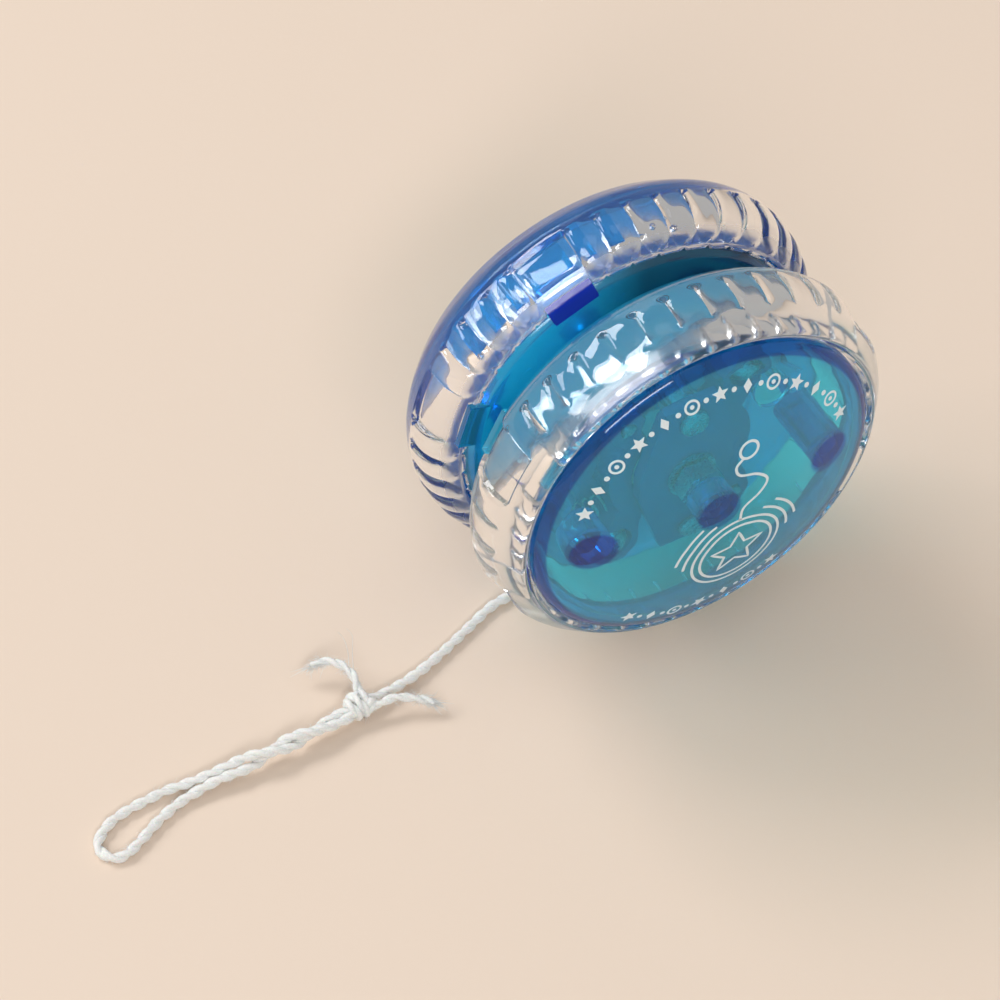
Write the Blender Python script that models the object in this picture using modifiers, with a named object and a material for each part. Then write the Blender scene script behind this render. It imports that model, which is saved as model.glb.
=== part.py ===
"""Clutch yo-yo with clear fluted rims, translucent blue hubs and caps, and a wound string.

Units are metres. +Z is up and the axle lies along Y. The yo-yo stands on its two rims, so the
table is the plane z = 0. The near half (the half that holds the clutch) is on the -Y side.
Turned pieces are drawn as (radius, depth), where depth is the distance from the middle of the
string gap, measured outwards along the axle.
"""

import math

import bmesh
import bpy
from mathutils import Matrix, Vector

# ---------------------------------------------------------------- driving dimensions
RIM_RADIUS = 0.0280          # crest of the flutes: the yo-yo is 56 mm across
HALF_WIDTH = 0.0190          # middle of the gap to the flat centre of a cap: 38 mm overall
GAP_HALF = 0.0022            # middle of the gap to a hub's gap face
FIT_GAP = 0.0003             # clearance between pieces that are fixed together
RUN_GAP = 0.0001             # clearance between a shaft and the piece that turns on it

FLUTE_DEPTH = 0.0008
WINDOW_HALF_ANGLE = math.radians(8.0)
LONG_ARC_FLUTES = 13
SHORT_ARC_FLUTES = 4
LONG_ARC_HALF_ANGLE = math.radians(64.5)
FAR_HALF_TURN = math.radians(-42.0)

BORE_RADIUS = 0.0239         # inside of the clear rim
HUB_RADIUS = BORE_RADIUS - FIT_GAP
HUB_WALL = 0.0014
HUB_WALL_TOP = 0.0108
WEB_THICKNESS = 0.0016
WEB_TOP = GAP_HALF + WEB_THICKNESS
LUG_WIDTH = 0.0062
LUG_OUTER = 0.0252
LUG_DEPTHS = (0.0026, 0.0046)

CAP_THICKNESS = 0.0015
CAP_EDGE_DEPTH = 0.0153
CAP_CROWN = 0.0040
CAP_CROWN_RADIUS = 0.0233
CAP_FLAT_RADIUS = 0.0060
PEG_OFFSET = 0.0166          # locating pegs, either side of the axle
PEG_RADIUS = 0.0010
BOSS_RADIUS = 0.0026
BOSS_BORE = PEG_RADIUS + FIT_GAP
BOSS_FOOT = 0.0076
CENTRE_BOSS_RADIUS = 0.0029
CENTRE_BOSS_FOOT = 0.0152

AXLE_RADIUS = 0.0015
AXLE_BORE = AXLE_RADIUS + RUN_GAP
AXLE_NEAR_END = 0.0164
AXLE_FAR_END = 0.0112
NUT_RADIUS = 0.00318         # across the corners of an M3 nut
NUT_HEIGHT = 0.0024
WASHER_RADIUS = 0.0034
WASHER_THICKNESS = 0.0005
FAR_BOSS_RADIUS = 0.0050
FAR_BOSS_TOP = 0.0070

SLEEVE_RADIUS = 0.0040       # the part of the spindle that the string is wound on
DRUM_RADIUS = 0.0065         # the part of the spindle that the clutch arms grip
DRUM_DEPTHS = (WEB_TOP + FIT_GAP, 0.0092)
SLEEVE_FAR_END = -0.0012
SPINDLE_HOLE = SLEEVE_RADIUS + 2 * FIT_GAP

BRIDGE_DEPTHS = (0.0096, 0.0112)
POST_OFFSET = 0.0095         # bridge posts, above and below the axle
POST_RADIUS = 0.0025
POST_TOP = BRIDGE_DEPTHS[0] - FIT_GAP
SCREW_RADIUS = 0.0010
SCREW_HEAD_RADIUS = 0.0019

ARM_DEPTHS = (0.0044, 0.0089)
ARM_INNER = DRUM_RADIUS + FIT_GAP
ARM_OUTER = 0.0100
ARM_ANGLES = (math.radians(129.0), math.radians(226.0))
ARM_NECK = math.radians(14.0)
ARM_PIVOT = (-0.0078, 0.0099)
ARM_PIVOT_RADIUS = 0.0026
ARM_WEIGHT = (-0.0089, -0.0114)
ARM_WEIGHT_RADIUS = 0.0035
WEIGHT_SWEEP = (math.radians(20.0), math.radians(-250.0))
EYE_SWEEP = (math.radians(215.0), math.radians(-40.0))
BALL_RADIUS = 0.0022
BALL_DEPTH = 0.0075
PIN_RADIUS = 0.0010
PIN_DEPTHS = (0.0032, 0.0094)
SPRING_HEIGHT = -0.0055
SPRING_SPAN = (-0.0152, -0.0096)
SPRING_RADIUS = 0.0013
SPRING_WIRE = 0.00018
SPRING_TURNS = 4.5
SPRING_DEPTH = 0.0066
SEAT_SIZE = (0.0016, 0.0040)

STRING_RADIUS = 0.000575
WINDING_INNER = SLEEVE_RADIUS + FIT_GAP
WINDING_OUTER = 0.0113
WINDING_HALF = 0.00175
KNOT_CENTRE = Vector((-0.0439, -0.0063, 0.0016))
KNOT_AXES = (0.0020, 0.0016, 0.0015)

STEPS_LARGE = 40             # segments round a hub or a cap
STEPS_SMALL = 16             # segments round a boss, a pin or a hole
CUT = 0.0005                 # how far a cutter runs past the face it opens

AXLE = Vector((0.0, 0.0, RIM_RADIUS))
NEAR = -1
FAR = 1

# ---------------------------------------------------------------- scene and collections
for old in list(bpy.data.objects):
    bpy.data.objects.remove(old, do_unlink=True)

parts = bpy.data.collections.new("yo_yo")
cutters = bpy.data.collections.new("cutters")
bpy.context.scene.collection.children.link(parts)
bpy.context.scene.collection.children.link(cutters)


def make_material(name, colour, roughness, metallic=0.0, transmission=0.0):
    material = bpy.data.materials.new(name)
    material.use_nodes = True
    shader = material.node_tree.nodes["Principled BSDF"]
    shader.inputs["Base Color"].default_value = (*colour, 1.0)
    shader.inputs["Roughness"].default_value = roughness
    shader.inputs["Metallic"].default_value = metallic
    shader.inputs["Transmission Weight"].default_value = transmission
    material.diffuse_color = (*colour, 1.0)
    return material


def clear_plastic(name):
    return make_material(name, (0.93, 0.95, 0.96), 0.05, transmission=0.9)


def blue_plastic(name):
    return make_material(name, (0.02, 0.30, 0.62), 0.08, transmission=0.8)


def steel(name):
    return make_material(name, (0.62, 0.63, 0.65), 0.28, metallic=1.0)


def cotton(name):
    return make_material(name, (0.92, 0.92, 0.90), 0.9)


# ---------------------------------------------------------------- building helpers
def add_object(name, mesh, material, collection=parts):
    obj = bpy.data.objects.new(name, mesh)
    mesh.materials.clear()
    if material:
        mesh.materials.append(material)
    collection.objects.link(obj)
    return obj


def hide_helper(obj):
    """Turn an object into a hidden tool: a cutter, or a block that is joined to a piece."""
    obj.hide_render = True
    obj.display_type = "WIRE"
    return obj


def mesh_from(obj):
    """The evaluated mesh of an object, with its loose caps welded and faces turned outwards."""
    bpy.context.view_layer.update()
    graph = bpy.context.evaluated_depsgraph_get()
    mesh = bpy.data.meshes.new_from_object(obj.evaluated_get(graph))
    work = bmesh.new()
    work.from_mesh(mesh)
    bmesh.ops.remove_doubles(work, verts=work.verts, dist=1e-6)
    bmesh.ops.recalc_face_normals(work, faces=work.faces)
    work.to_mesh(mesh)
    work.free()
    return mesh


def smooth(obj, angle=math.radians(35.0)):
    obj.data.shade_smooth()
    obj.data.set_sharp_from_angle(angle=angle)
    return obj


def stand_on_axle(obj, side):
    """Turn a piece drawn along +Z to lie along the axle, outwards on one side of the gap."""
    obj.location = AXLE
    obj.rotation_euler = (math.radians(90.0) * -side, 0.0, 0.0)
    return obj


def turned_mesh(outline, steps, closed):
    """A profile of (radius, depth) points spun round Z; it runs down the outer side first."""
    mesh = bpy.data.meshes.new("outline")
    points = [(radius, 0.0, depth) for radius, depth in outline]
    edges = [(i, i + 1) for i in range(len(points) - 1)]
    if closed:
        edges.append((len(points) - 1, 0))
    mesh.from_pydata(points, edges, [])
    guide = add_object("outline", mesh, None, cutters)
    screw = guide.modifiers.new("Spin", "SCREW")
    screw.axis = "Z"
    screw.angle = math.tau
    screw.steps = steps
    screw.render_steps = steps
    screw.use_merge_vertices = True
    screw.merge_threshold = 0.00001
    spun = mesh_from(guide)
    bpy.data.objects.remove(guide, do_unlink=True)
    return spun


def turned(name, outline, material, side=NEAR, steps=STEPS_LARGE, closed=True):
    piece = add_object(name, turned_mesh(outline, steps, closed), material)
    return smooth(stand_on_axle(piece, side))


def ring_outline(inner, outer, low, high):
    return [(outer, high), (outer, low), (inner, low), (inner, high)]


def rod(name, centre, radius, low, high, side, material=None, collection=cutters):
    """A cylinder along the axle's direction at (x, z) beside the axle, between two depths."""
    mesh = bpy.data.meshes.new(name)
    work = bmesh.new()
    bmesh.ops.create_cone(work, cap_ends=True, segments=STEPS_SMALL,
                          radius1=radius, radius2=radius, depth=high - low)
    turn = Matrix.Rotation(math.radians(90.0), 4, "X")
    middle = Vector((centre[0], side * (low + high) / 2, centre[1]))
    bmesh.ops.transform(work, matrix=Matrix.Translation(AXLE + middle) @ turn, verts=work.verts)
    work.to_mesh(mesh)
    work.free()
    return add_object(name, mesh, material, collection)


def block(name, size, place, turn=0.0):
    """A box of a given (x, y, z) size, turned about the axle's direction, at a world place."""
    mesh = bpy.data.meshes.new(name)
    work = bmesh.new()
    bmesh.ops.create_cube(work, size=1.0, matrix=Matrix.Diagonal((*size, 1.0)))
    spin = Matrix.Rotation(turn, 4, "Y")
    bmesh.ops.transform(work, matrix=Matrix.Translation(place) @ spin, verts=work.verts)
    work.to_mesh(mesh)
    work.free()
    return add_object(name, mesh, None, cutters)


def combine(piece, helper, operation):
    hide_helper(helper)
    change = piece.modifiers.new(operation.title(), "BOOLEAN")
    change.operation = operation
    change.solver = "EXACT"
    change.object = helper


def plate_mesh(outline, half_thickness):
    """A flat outline of (x, z) points, thickened along the axle's direction."""
    curve = bpy.data.curves.new("plate", "CURVE")
    curve.dimensions = "2D"
    curve.fill_mode = "BOTH"
    curve.extrude = half_thickness
    spline = curve.splines.new("POLY")
    spline.points.add(len(outline) - 1)
    for point, (x, z) in zip(spline.points, outline):
        point.co = (x, z, 0.0, 1.0)
    spline.use_cyclic_u = True
    guide = bpy.data.objects.new("plate", curve)
    cutters.objects.link(guide)
    mesh = mesh_from(guide)
    bpy.data.objects.remove(guide, do_unlink=True)
    return mesh


def near_plate(name, outline, depths, material, collection=parts):
    """A flat piece inside the near half, lying across the axle between two depths."""
    mesh = plate_mesh(outline, (depths[1] - depths[0]) / 2)
    middle = AXLE + Vector((0.0, NEAR * (depths[0] + depths[1]) / 2, 0.0))
    mesh.transform(Matrix.Translation(middle) @ Matrix.Rotation(math.radians(90.0), 4, "X"))
    return add_object(name, mesh, material, collection)


def smooth_route(points, spacing):
    """Evenly spaced points on a Catmull-Rom curve through the given points."""
    knots = [Vector(point) for point in points]
    knots = [2 * knots[0] - knots[1], *knots, 2 * knots[-1] - knots[-2]]
    fine = []
    for a, b, c, d in zip(knots, knots[1:], knots[2:], knots[3:]):
        for step in range(24):
            t = step / 24
            fine.append(0.5 * (2 * b + (c - a) * t + (2 * a - 5 * b + 4 * c - d) * t * t
                               + (3 * b - a - 3 * c + d) * t ** 3))
    fine.append(knots[-2])
    length = sum((q - p).length for p, q in zip(fine, fine[1:]))
    count = max(2, round(length / spacing))
    even = [fine[0]]
    walked = 0.0
    for p, q in zip(fine, fine[1:]):
        stretch = (q - p).length
        while len(even) < count and walked + stretch >= len(even) * length / count:
            even.append(p.lerp(q, (len(even) * length / count - walked) / stretch))
        walked += stretch
    even.append(fine[-1])
    return even


def tube(name, points, radius, material, resolution=2):
    curve = bpy.data.curves.new(name, "CURVE")
    curve.dimensions = "3D"
    curve.bevel_depth = radius
    curve.bevel_resolution = resolution
    curve.use_fill_caps = True
    spline = curve.splines.new("POLY")
    spline.points.add(len(points) - 1)
    for spot, point in zip(spline.points, points):
        spot.co = (*point, 1.0)
    guide = bpy.data.objects.new(name + "_guide", curve)
    cutters.objects.link(guide)
    mesh = mesh_from(guide)
    bpy.data.objects.remove(guide, do_unlink=True)
    return smooth(add_object(name, mesh, material), math.radians(60.0))


def arc_points(centre, radius, start, end, count):
    angles = [start + (end - start) * i / (count - 1) for i in range(count)]
    return [(centre[0] + radius * math.cos(angle), centre[1] + radius * math.sin(angle))
            for angle in angles]


def half_turn(point, index):
    """The same place for the first clutch arm, and the opposite place for the second."""
    sign = 1 if index == 1 else -1
    return (sign * point[0], sign * point[1])


# ---------------------------------------------------------------- clear fluted rims
def window_angles(side):
    """Centres of the four smooth windows of a rim, as angles in the XZ plane from +X."""
    turn = FAR_HALF_TURN if side == FAR else 0.0
    bottom = math.radians(270.0) + turn
    top = bottom + math.pi
    return [centre + sign * LONG_ARC_HALF_ANGLE for centre in (bottom, top) for sign in (-1, 1)]


def rim_stations(side):
    """Angles round a rim, each with its flute level: 1 on a crest, 0 in a valley or a window."""
    stations = []
    starts = sorted(angle % math.tau for angle in window_angles(side))
    for this, following in zip(starts, starts[1:] + [starts[0] + math.tau]):
        for part in range(3):
            stations.append((this + (part - 1) * 2 * WINDOW_HALF_ANGLE / 3, 0.0))
        begin = this + WINDOW_HALF_ANGLE
        arc = following - this - 2 * WINDOW_HALF_ANGLE
        flutes = LONG_ARC_FLUTES if arc > math.pi / 3 else SHORT_ARC_FLUTES
        pitch = arc / flutes
        for flute in range(flutes):
            stations.append((begin + flute * pitch, 0.0))
            stations.append((begin + (flute + 0.28) * pitch, 1.0))
            stations.append((begin + (flute + 0.72) * pitch, 1.0))
    return stations


def clear_rim(name, side):
    # radius, depth, how far the flutes show at this point of the section
    section = [
        (0.0245, 0.0144, 0.0),
        (0.0256, 0.0135, 0.0),
        (0.0264, 0.0124, 0.1),
        (0.0274, 0.0110, 1.0),
        (RIM_RADIUS, 0.0088, 1.0),
        (0.0277, 0.0060, 1.0),
        (0.0268, 0.0041, 0.8),
        (0.0257, 0.0027, 0.0),
        (0.0246, 0.0026, 0.0),
        (BORE_RADIUS, 0.0036, 0.0),
        (BORE_RADIUS, 0.0142, 0.0),
    ]
    stations = rim_stations(side)
    mesh = turned_mesh([(radius, depth) for radius, depth, _ in section], len(stations), True)
    relief = {(round(radius, 5), round(depth, 5)): level for radius, depth, level in section}
    for vertex in mesh.vertices:
        x, y, depth = vertex.co
        radius = math.hypot(x, y)
        turn = math.atan2(y, x) % math.tau
        angle, crest = stations[round(turn / math.tau * len(stations)) % len(stations)]
        level = relief[(round(radius, 5), round(depth, 5))]
        radius -= FLUTE_DEPTH * level * (1.0 - crest)
        local = angle * -side
        vertex.co = (radius * math.cos(local), radius * math.sin(local), depth)
    if side == FAR:
        mesh.flip_normals()
    rim = add_object(name, mesh, clear_plastic(name))
    smooth(stand_on_axle(rim, side), math.radians(20.0))
    notch = (LUG_OUTER - BORE_RADIUS + 0.0015, LUG_DEPTHS[1] - LUG_DEPTHS[0] + 0.0018,
             LUG_WIDTH + 2 * FIT_GAP)
    for number, angle in enumerate(window_angles(side)):
        radius = LUG_OUTER + FIT_GAP - notch[0] / 2
        depth = LUG_DEPTHS[1] + FIT_GAP - notch[1] / 2
        place = AXLE + Vector((radius * math.cos(angle), side * depth, radius * math.sin(angle)))
        combine(rim, block(f"{name}_notch_{number}", notch, place, -angle), "DIFFERENCE")
    return rim


# ---------------------------------------------------------------- hubs
def add_lugs(hub, side):
    inner = HUB_RADIUS - HUB_WALL / 2
    size = (LUG_OUTER - inner, LUG_DEPTHS[1] - LUG_DEPTHS[0], LUG_WIDTH)
    for number, angle in enumerate(window_angles(side)):
        radius = (LUG_OUTER + inner) / 2
        depth = sum(LUG_DEPTHS) / 2
        place = AXLE + Vector((radius * math.cos(angle), side * depth, radius * math.sin(angle)))
        combine(hub, block(f"{hub.name}_lug_{number}", size, place, -angle), "UNION")


def add_pegs(hub, side):
    for number, x in enumerate((-PEG_OFFSET, PEG_OFFSET)):
        peg = rod(f"{hub.name}_peg_{number}", (x, 0.0), PEG_RADIUS,
                  WEB_TOP - CUT, BRIDGE_DEPTHS[0], side)
        combine(hub, peg, "UNION")


def hub_outline(centre):
    """The section of a hub; centre lists its points at the middle, from the gap face inwards."""
    inner = HUB_RADIUS - HUB_WALL
    return [
        (HUB_RADIUS, HUB_WALL_TOP),
        (HUB_RADIUS, 0.0031),
        (HUB_RADIUS - 0.0009, GAP_HALF),
        *centre,
        (inner - 0.0008, WEB_TOP),
        (inner, WEB_TOP + 0.0008),
        (inner, HUB_WALL_TOP),
    ]


def hub_far():
    centre = [(AXLE_BORE, GAP_HALF), (AXLE_BORE, FAR_BOSS_TOP),
              (FAR_BOSS_RADIUS, FAR_BOSS_TOP), (FAR_BOSS_RADIUS, WEB_TOP)]
    hub = turned("hub_dish_far", hub_outline(centre), blue_plastic("hub_dish_far"), FAR)
    add_lugs(hub, FAR)
    add_pegs(hub, FAR)
    return hub


def hub_near():
    centre = [(SPINDLE_HOLE, GAP_HALF), (SPINDLE_HOLE, WEB_TOP)]
    hub = turned("hub_dish_near", hub_outline(centre), blue_plastic("hub_dish_near"), NEAR)
    add_lugs(hub, NEAR)
    add_pegs(hub, NEAR)
    for index in (1, 2):
        post = half_turn((0.0, POST_OFFSET), index)
        combine(hub, rod(f"bridge_post_{index}", post, POST_RADIUS, WEB_TOP - CUT, POST_TOP, NEAR),
                "UNION")
        combine(hub, rod(f"post_hole_{index}", post, SCREW_RADIUS + FIT_GAP,
                         0.0052, POST_TOP + CUT, NEAR), "DIFFERENCE")
        pivot = half_turn(ARM_PIVOT, index)
        combine(hub, rod(f"pin_hole_{index}", pivot, PIN_RADIUS + FIT_GAP,
                         PIN_DEPTHS[0] - FIT_GAP, WEB_TOP + CUT, NEAR), "DIFFERENCE")
        x, z = half_turn((SPRING_SPAN[0] - FIT_GAP - SEAT_SIZE[0] / 2, SPRING_HEIGHT), index)
        low = WEB_TOP - CUT
        height = ARM_DEPTHS[1] - low
        seat = block(f"spring_seat_{index}", (SEAT_SIZE[0], height, SEAT_SIZE[1]),
                     AXLE + Vector((x, NEAR * (low + height / 2), z)))
        combine(hub, seat, "UNION")
    return hub


# ---------------------------------------------------------------- caps
def crown_depth(radius):
    return CAP_EDGE_DEPTH + CAP_CROWN * (1.0 - (radius / CAP_CROWN_RADIUS) ** 2)


def cap(name, side):
    skirt_foot = HUB_WALL_TOP + FIT_GAP
    inner = HUB_RADIUS - HUB_WALL + FIT_GAP / 3
    outer_radii = [CAP_FLAT_RADIUS, 0.0105, 0.0150, 0.0190, 0.0217]
    inner_radii = [0.0214, 0.0180, 0.0130, CAP_FLAT_RADIUS]
    outline = [(0.0, HALF_WIDTH), (CAP_FLAT_RADIUS, HALF_WIDTH)]
    outline += [(radius, crown_depth(radius)) for radius in outer_radii[1:]]
    outline += [(0.0230, CAP_EDGE_DEPTH), (HUB_RADIUS, 0.0146), (HUB_RADIUS, skirt_foot),
                (inner, skirt_foot), (inner, 0.0139)]
    outline += [(radius, crown_depth(radius) - CAP_THICKNESS) for radius in inner_radii]
    outline += [(0.0, crown_depth(CAP_FLAT_RADIUS) - CAP_THICKNESS)]
    piece = turned(name, outline, blue_plastic(name), side, closed=False)
    for number, x in enumerate((-PEG_OFFSET, PEG_OFFSET)):
        top = crown_depth(PEG_OFFSET) - CAP_THICKNESS / 2
        combine(piece, rod(f"{name}_boss_{number}", (x, 0.0), BOSS_RADIUS, BOSS_FOOT, top, side),
                "UNION")
        combine(piece, rod(f"{name}_bore_{number}", (x, 0.0), BOSS_BORE,
                           BOSS_FOOT - CUT, 0.0146, side), "DIFFERENCE")
    combine(piece, rod(f"{name}_centre", (0.0, 0.0), CENTRE_BOSS_RADIUS,
                       CENTRE_BOSS_FOOT, 0.0181, side), "UNION")
    combine(piece, rod(f"{name}_centre_bore", (0.0, 0.0), AXLE_BORE,
                       CENTRE_BOSS_FOOT - CUT, 0.0172, side), "DIFFERENCE")
    return piece


# ---------------------------------------------------------------- axle and its fasteners
def axle():
    outline = [(0.0, AXLE_NEAR_END), (AXLE_RADIUS - 0.0002, AXLE_NEAR_END),
               (AXLE_RADIUS, AXLE_NEAR_END - 0.0002), (AXLE_RADIUS, -AXLE_FAR_END + 0.0002),
               (AXLE_RADIUS - 0.0002, -AXLE_FAR_END), (0.0, -AXLE_FAR_END)]
    return turned("axle", outline, steel("axle"), NEAR, STEPS_SMALL, closed=False)


def nut(name, low, side):
    outline = ring_outline(AXLE_BORE, NUT_RADIUS, low, low + NUT_HEIGHT)
    piece = turned(name, outline, steel(name), side, steps=6)
    bore = rod(f"{name}_bore", (0.0, 0.0), AXLE_BORE, low - CUT, low + NUT_HEIGHT + CUT, side)
    combine(piece, bore, "DIFFERENCE")
    return piece


def washer(name, low, side, thickness=WASHER_THICKNESS, radius=WASHER_RADIUS):
    outline = ring_outline(AXLE_BORE, radius, low, low + thickness)
    return turned(name, outline, steel(name), side, STEPS_SMALL)


def spindle(parent):
    outline = [
        (DRUM_RADIUS, DRUM_DEPTHS[1]), (DRUM_RADIUS, DRUM_DEPTHS[0]),
        (SLEEVE_RADIUS, DRUM_DEPTHS[0]), (SLEEVE_RADIUS, SLEEVE_FAR_END),
        (AXLE_BORE, SLEEVE_FAR_END), (AXLE_BORE, DRUM_DEPTHS[1]),
    ]
    material = make_material("spindle", (0.80, 0.82, 0.84), 0.35)
    piece = turned("spindle", outline, material, NEAR, 24)
    piece.parent = parent
    piece.location = (0.0, 0.0, 0.0)
    return piece


# ---------------------------------------------------------------- centrifugal clutch
def bridge():
    narrow, wide, reach, waist = 0.0038, 0.0070, 0.0122, 0.0020
    right = [(wide, waist), (wide, -waist), (narrow, -reach)]
    outline = [(narrow, reach), *right, *[(-x, z) for x, z in reversed(right)], (-narrow, reach)]
    plate = near_plate("clutch_bridge", outline, BRIDGE_DEPTHS, blue_plastic("clutch_bridge"))
    low, high = BRIDGE_DEPTHS[0] - CUT, BRIDGE_DEPTHS[1] + CUT
    combine(plate, rod("bridge_axle_hole", (0.0, 0.0), AXLE_BORE, low, high, NEAR), "DIFFERENCE")
    for index in (1, 2):
        hole = rod(f"bridge_screw_hole_{index}", half_turn((0.0, POST_OFFSET), index),
                   SCREW_RADIUS + FIT_GAP, low, high, NEAR)
        combine(plate, hole, "DIFFERENCE")
    return plate


def bridge_screw(index):
    seat = BRIDGE_DEPTHS[1] + FIT_GAP
    outline = [(0.0, seat + 0.0011), (0.0012, seat + 0.0010), (SCREW_HEAD_RADIUS, seat + 0.0005),
               (SCREW_HEAD_RADIUS, seat), (SCREW_RADIUS, seat), (SCREW_RADIUS, 0.0062),
               (0.0, 0.0055)]
    name = f"bridge_screw_{index}"
    screw = turned(name, outline, steel(name), NEAR, 12, closed=False)
    x, z = half_turn((0.0, POST_OFFSET), index)
    screw.location = AXLE + Vector((x, 0.0, z))
    return screw


def arm_outline(index):
    """A curved brake shoe round the drum, with a round eye at one end and a round weight."""
    outline = [
        *arc_points((0.0, 0.0), ARM_INNER, *ARM_ANGLES, 9),
        *arc_points(ARM_WEIGHT, ARM_WEIGHT_RADIUS, *WEIGHT_SWEEP, 10),
        *arc_points((0.0, 0.0), ARM_OUTER, ARM_ANGLES[1] - ARM_NECK, ARM_ANGLES[0] + ARM_NECK, 7),
        *arc_points(ARM_PIVOT, ARM_PIVOT_RADIUS, *EYE_SWEEP, 9),
    ]
    return [half_turn(point, index) for point in outline]


def pivot_empty(name, index):
    x, z = half_turn(ARM_PIVOT, index)
    empty = bpy.data.objects.new(name, None)
    empty.location = AXLE + Vector((x, 0.0, z))
    parts.objects.link(empty)
    return empty


def hang_on(piece, empty):
    """Parent a piece that is modelled in world space to an empty, without moving it."""
    piece.parent = empty
    piece.matrix_parent_inverse = Matrix.Translation(empty.location).inverted()


def clutch_arm(index):
    name = f"clutch_arm_{index}"
    empty = pivot_empty(f"{name}_pivot", index)
    arm = near_plate(name, arm_outline(index), ARM_DEPTHS, blue_plastic(name))
    pivot = half_turn(ARM_PIVOT, index)
    weight = half_turn(ARM_WEIGHT, index)
    low, high = ARM_DEPTHS
    combine(arm, rod(f"{name}_eye_bore", pivot, PIN_RADIUS + RUN_GAP,
                     low - CUT, high + CUT, NEAR), "DIFFERENCE")
    combine(arm, rod(f"{name}_pocket", weight, BALL_RADIUS + FIT_GAP,
                     BALL_DEPTH - BALL_RADIUS - FIT_GAP, high + CUT, NEAR), "DIFFERENCE")
    hang_on(arm, empty)

    pin_name = f"arm_pin_{index}"
    smooth(rod(pin_name, pivot, PIN_RADIUS, *PIN_DEPTHS, NEAR, steel(pin_name), parts))

    ball_name = f"arm_ball_{index}"
    ball_mesh = bpy.data.meshes.new(ball_name)
    work = bmesh.new()
    bmesh.ops.create_uvsphere(work, u_segments=12, v_segments=8, radius=BALL_RADIUS)
    place = AXLE + Vector((weight[0], NEAR * BALL_DEPTH, weight[1]))
    bmesh.ops.translate(work, verts=work.verts, vec=place)
    work.to_mesh(ball_mesh)
    work.free()
    ball = smooth(add_object(ball_name, ball_mesh, steel(ball_name)))
    hang_on(ball, empty)


def arm_spring(index):
    count = round(SPRING_TURNS * 8)
    points = []
    for i in range(count + 1):
        along = SPRING_SPAN[0] + (SPRING_SPAN[1] - SPRING_SPAN[0]) * i / count
        turn = math.tau * SPRING_TURNS * i / count
        side = SPRING_RADIUS * math.cos(turn)
        x, z = half_turn((along, SPRING_HEIGHT + SPRING_RADIUS * math.sin(turn)), index)
        points.append(AXLE + Vector((x, NEAR * SPRING_DEPTH + side, z)))
    name = f"arm_spring_{index}"
    return tube(name, points, SPRING_WIRE, steel(name), resolution=1)


# ---------------------------------------------------------------- string
def winding():
    edge = 0.0005
    outline = [
        (WINDING_OUTER - edge, WINDING_HALF), (WINDING_OUTER, WINDING_HALF - edge),
        (WINDING_OUTER, edge - WINDING_HALF), (WINDING_OUTER - edge, -WINDING_HALF),
        (WINDING_INNER, -WINDING_HALF), (WINDING_INNER, WINDING_HALF),
    ]
    return turned("string_winding", outline, cotton("string_winding"), NEAR, 36)


def free_string():
    """From the winding down to the table, then along it to the knot."""
    route = [
        (-0.01225, 0.0000, 0.0270), (-0.01230, 0.0000, 0.0210), (-0.01245, 0.0000, 0.0150),
        (-0.01280, 0.0001, 0.0095), (-0.01360, 0.0002, 0.0051), (-0.01540, 0.0005, 0.0020),
        (-0.01820, 0.0007, 0.0008), (-0.02150, 0.0003, 0.0006), (-0.02600, -0.0015, 0.0006),
        (-0.03050, -0.0033, 0.0006), (-0.03480, -0.0048, 0.0008), (-0.03860, -0.0057, 0.0011),
        (-0.04160, -0.0061, 0.0015),
    ]
    return tube("string_free", smooth_route(route, 0.0026), STRING_RADIUS, cotton("string_free"))


def knot():
    mesh = bpy.data.meshes.new("string_knot")
    work = bmesh.new()
    bmesh.ops.create_uvsphere(work, u_segments=12, v_segments=8, radius=1.0)
    shape = Matrix.Translation(KNOT_CENTRE) @ Matrix.Diagonal((*KNOT_AXES, 1.0))
    bmesh.ops.transform(work, matrix=shape, verts=work.verts)
    work.to_mesh(mesh)
    work.free()
    return smooth(add_object("string_knot", mesh, cotton("string_knot")))


def finger_loop():
    """Two strands side by side that open into a narrow loop and come back to the knot."""
    route = [
        (-0.04600, -0.0064, 0.0016), (-0.04830, -0.0066, 0.0018), (-0.05200, -0.0070, 0.0020),
        (-0.05480, -0.0071, 0.0020), (-0.05800, -0.0072, 0.0019), (-0.06110, -0.0070, 0.0017),
        (-0.06430, -0.0068, 0.0013), (-0.06740, -0.0065, 0.0009), (-0.07040, -0.0061, 0.0007),
        (-0.07340, -0.0062, 0.0006), (-0.07610, -0.0065, 0.0006), (-0.07840, -0.0071, 0.0006),
        (-0.08020, -0.0082, 0.0006), (-0.08130, -0.0095, 0.0006), (-0.08110, -0.0113, 0.0006),
        (-0.07970, -0.0124, 0.0006), (-0.07800, -0.0121, 0.0006), (-0.07590, -0.0111, 0.0006),
        (-0.07380, -0.0100, 0.0006), (-0.07170, -0.0091, 0.0006), (-0.06960, -0.0085, 0.0007),
        (-0.06750, -0.0082, 0.0009),
        (-0.06450, -0.0081, 0.0013), (-0.06110, -0.0084, 0.0017), (-0.05800, -0.0085, 0.0019),
        (-0.05480, -0.0083, 0.0020), (-0.05200, -0.0082, 0.0020), (-0.04840, -0.0078, 0.0018),
        (-0.04610, -0.0075, 0.0016),
    ]
    return tube("finger_loop", smooth_route(route, 0.0016), STRING_RADIUS, cotton("finger_loop"))


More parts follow.
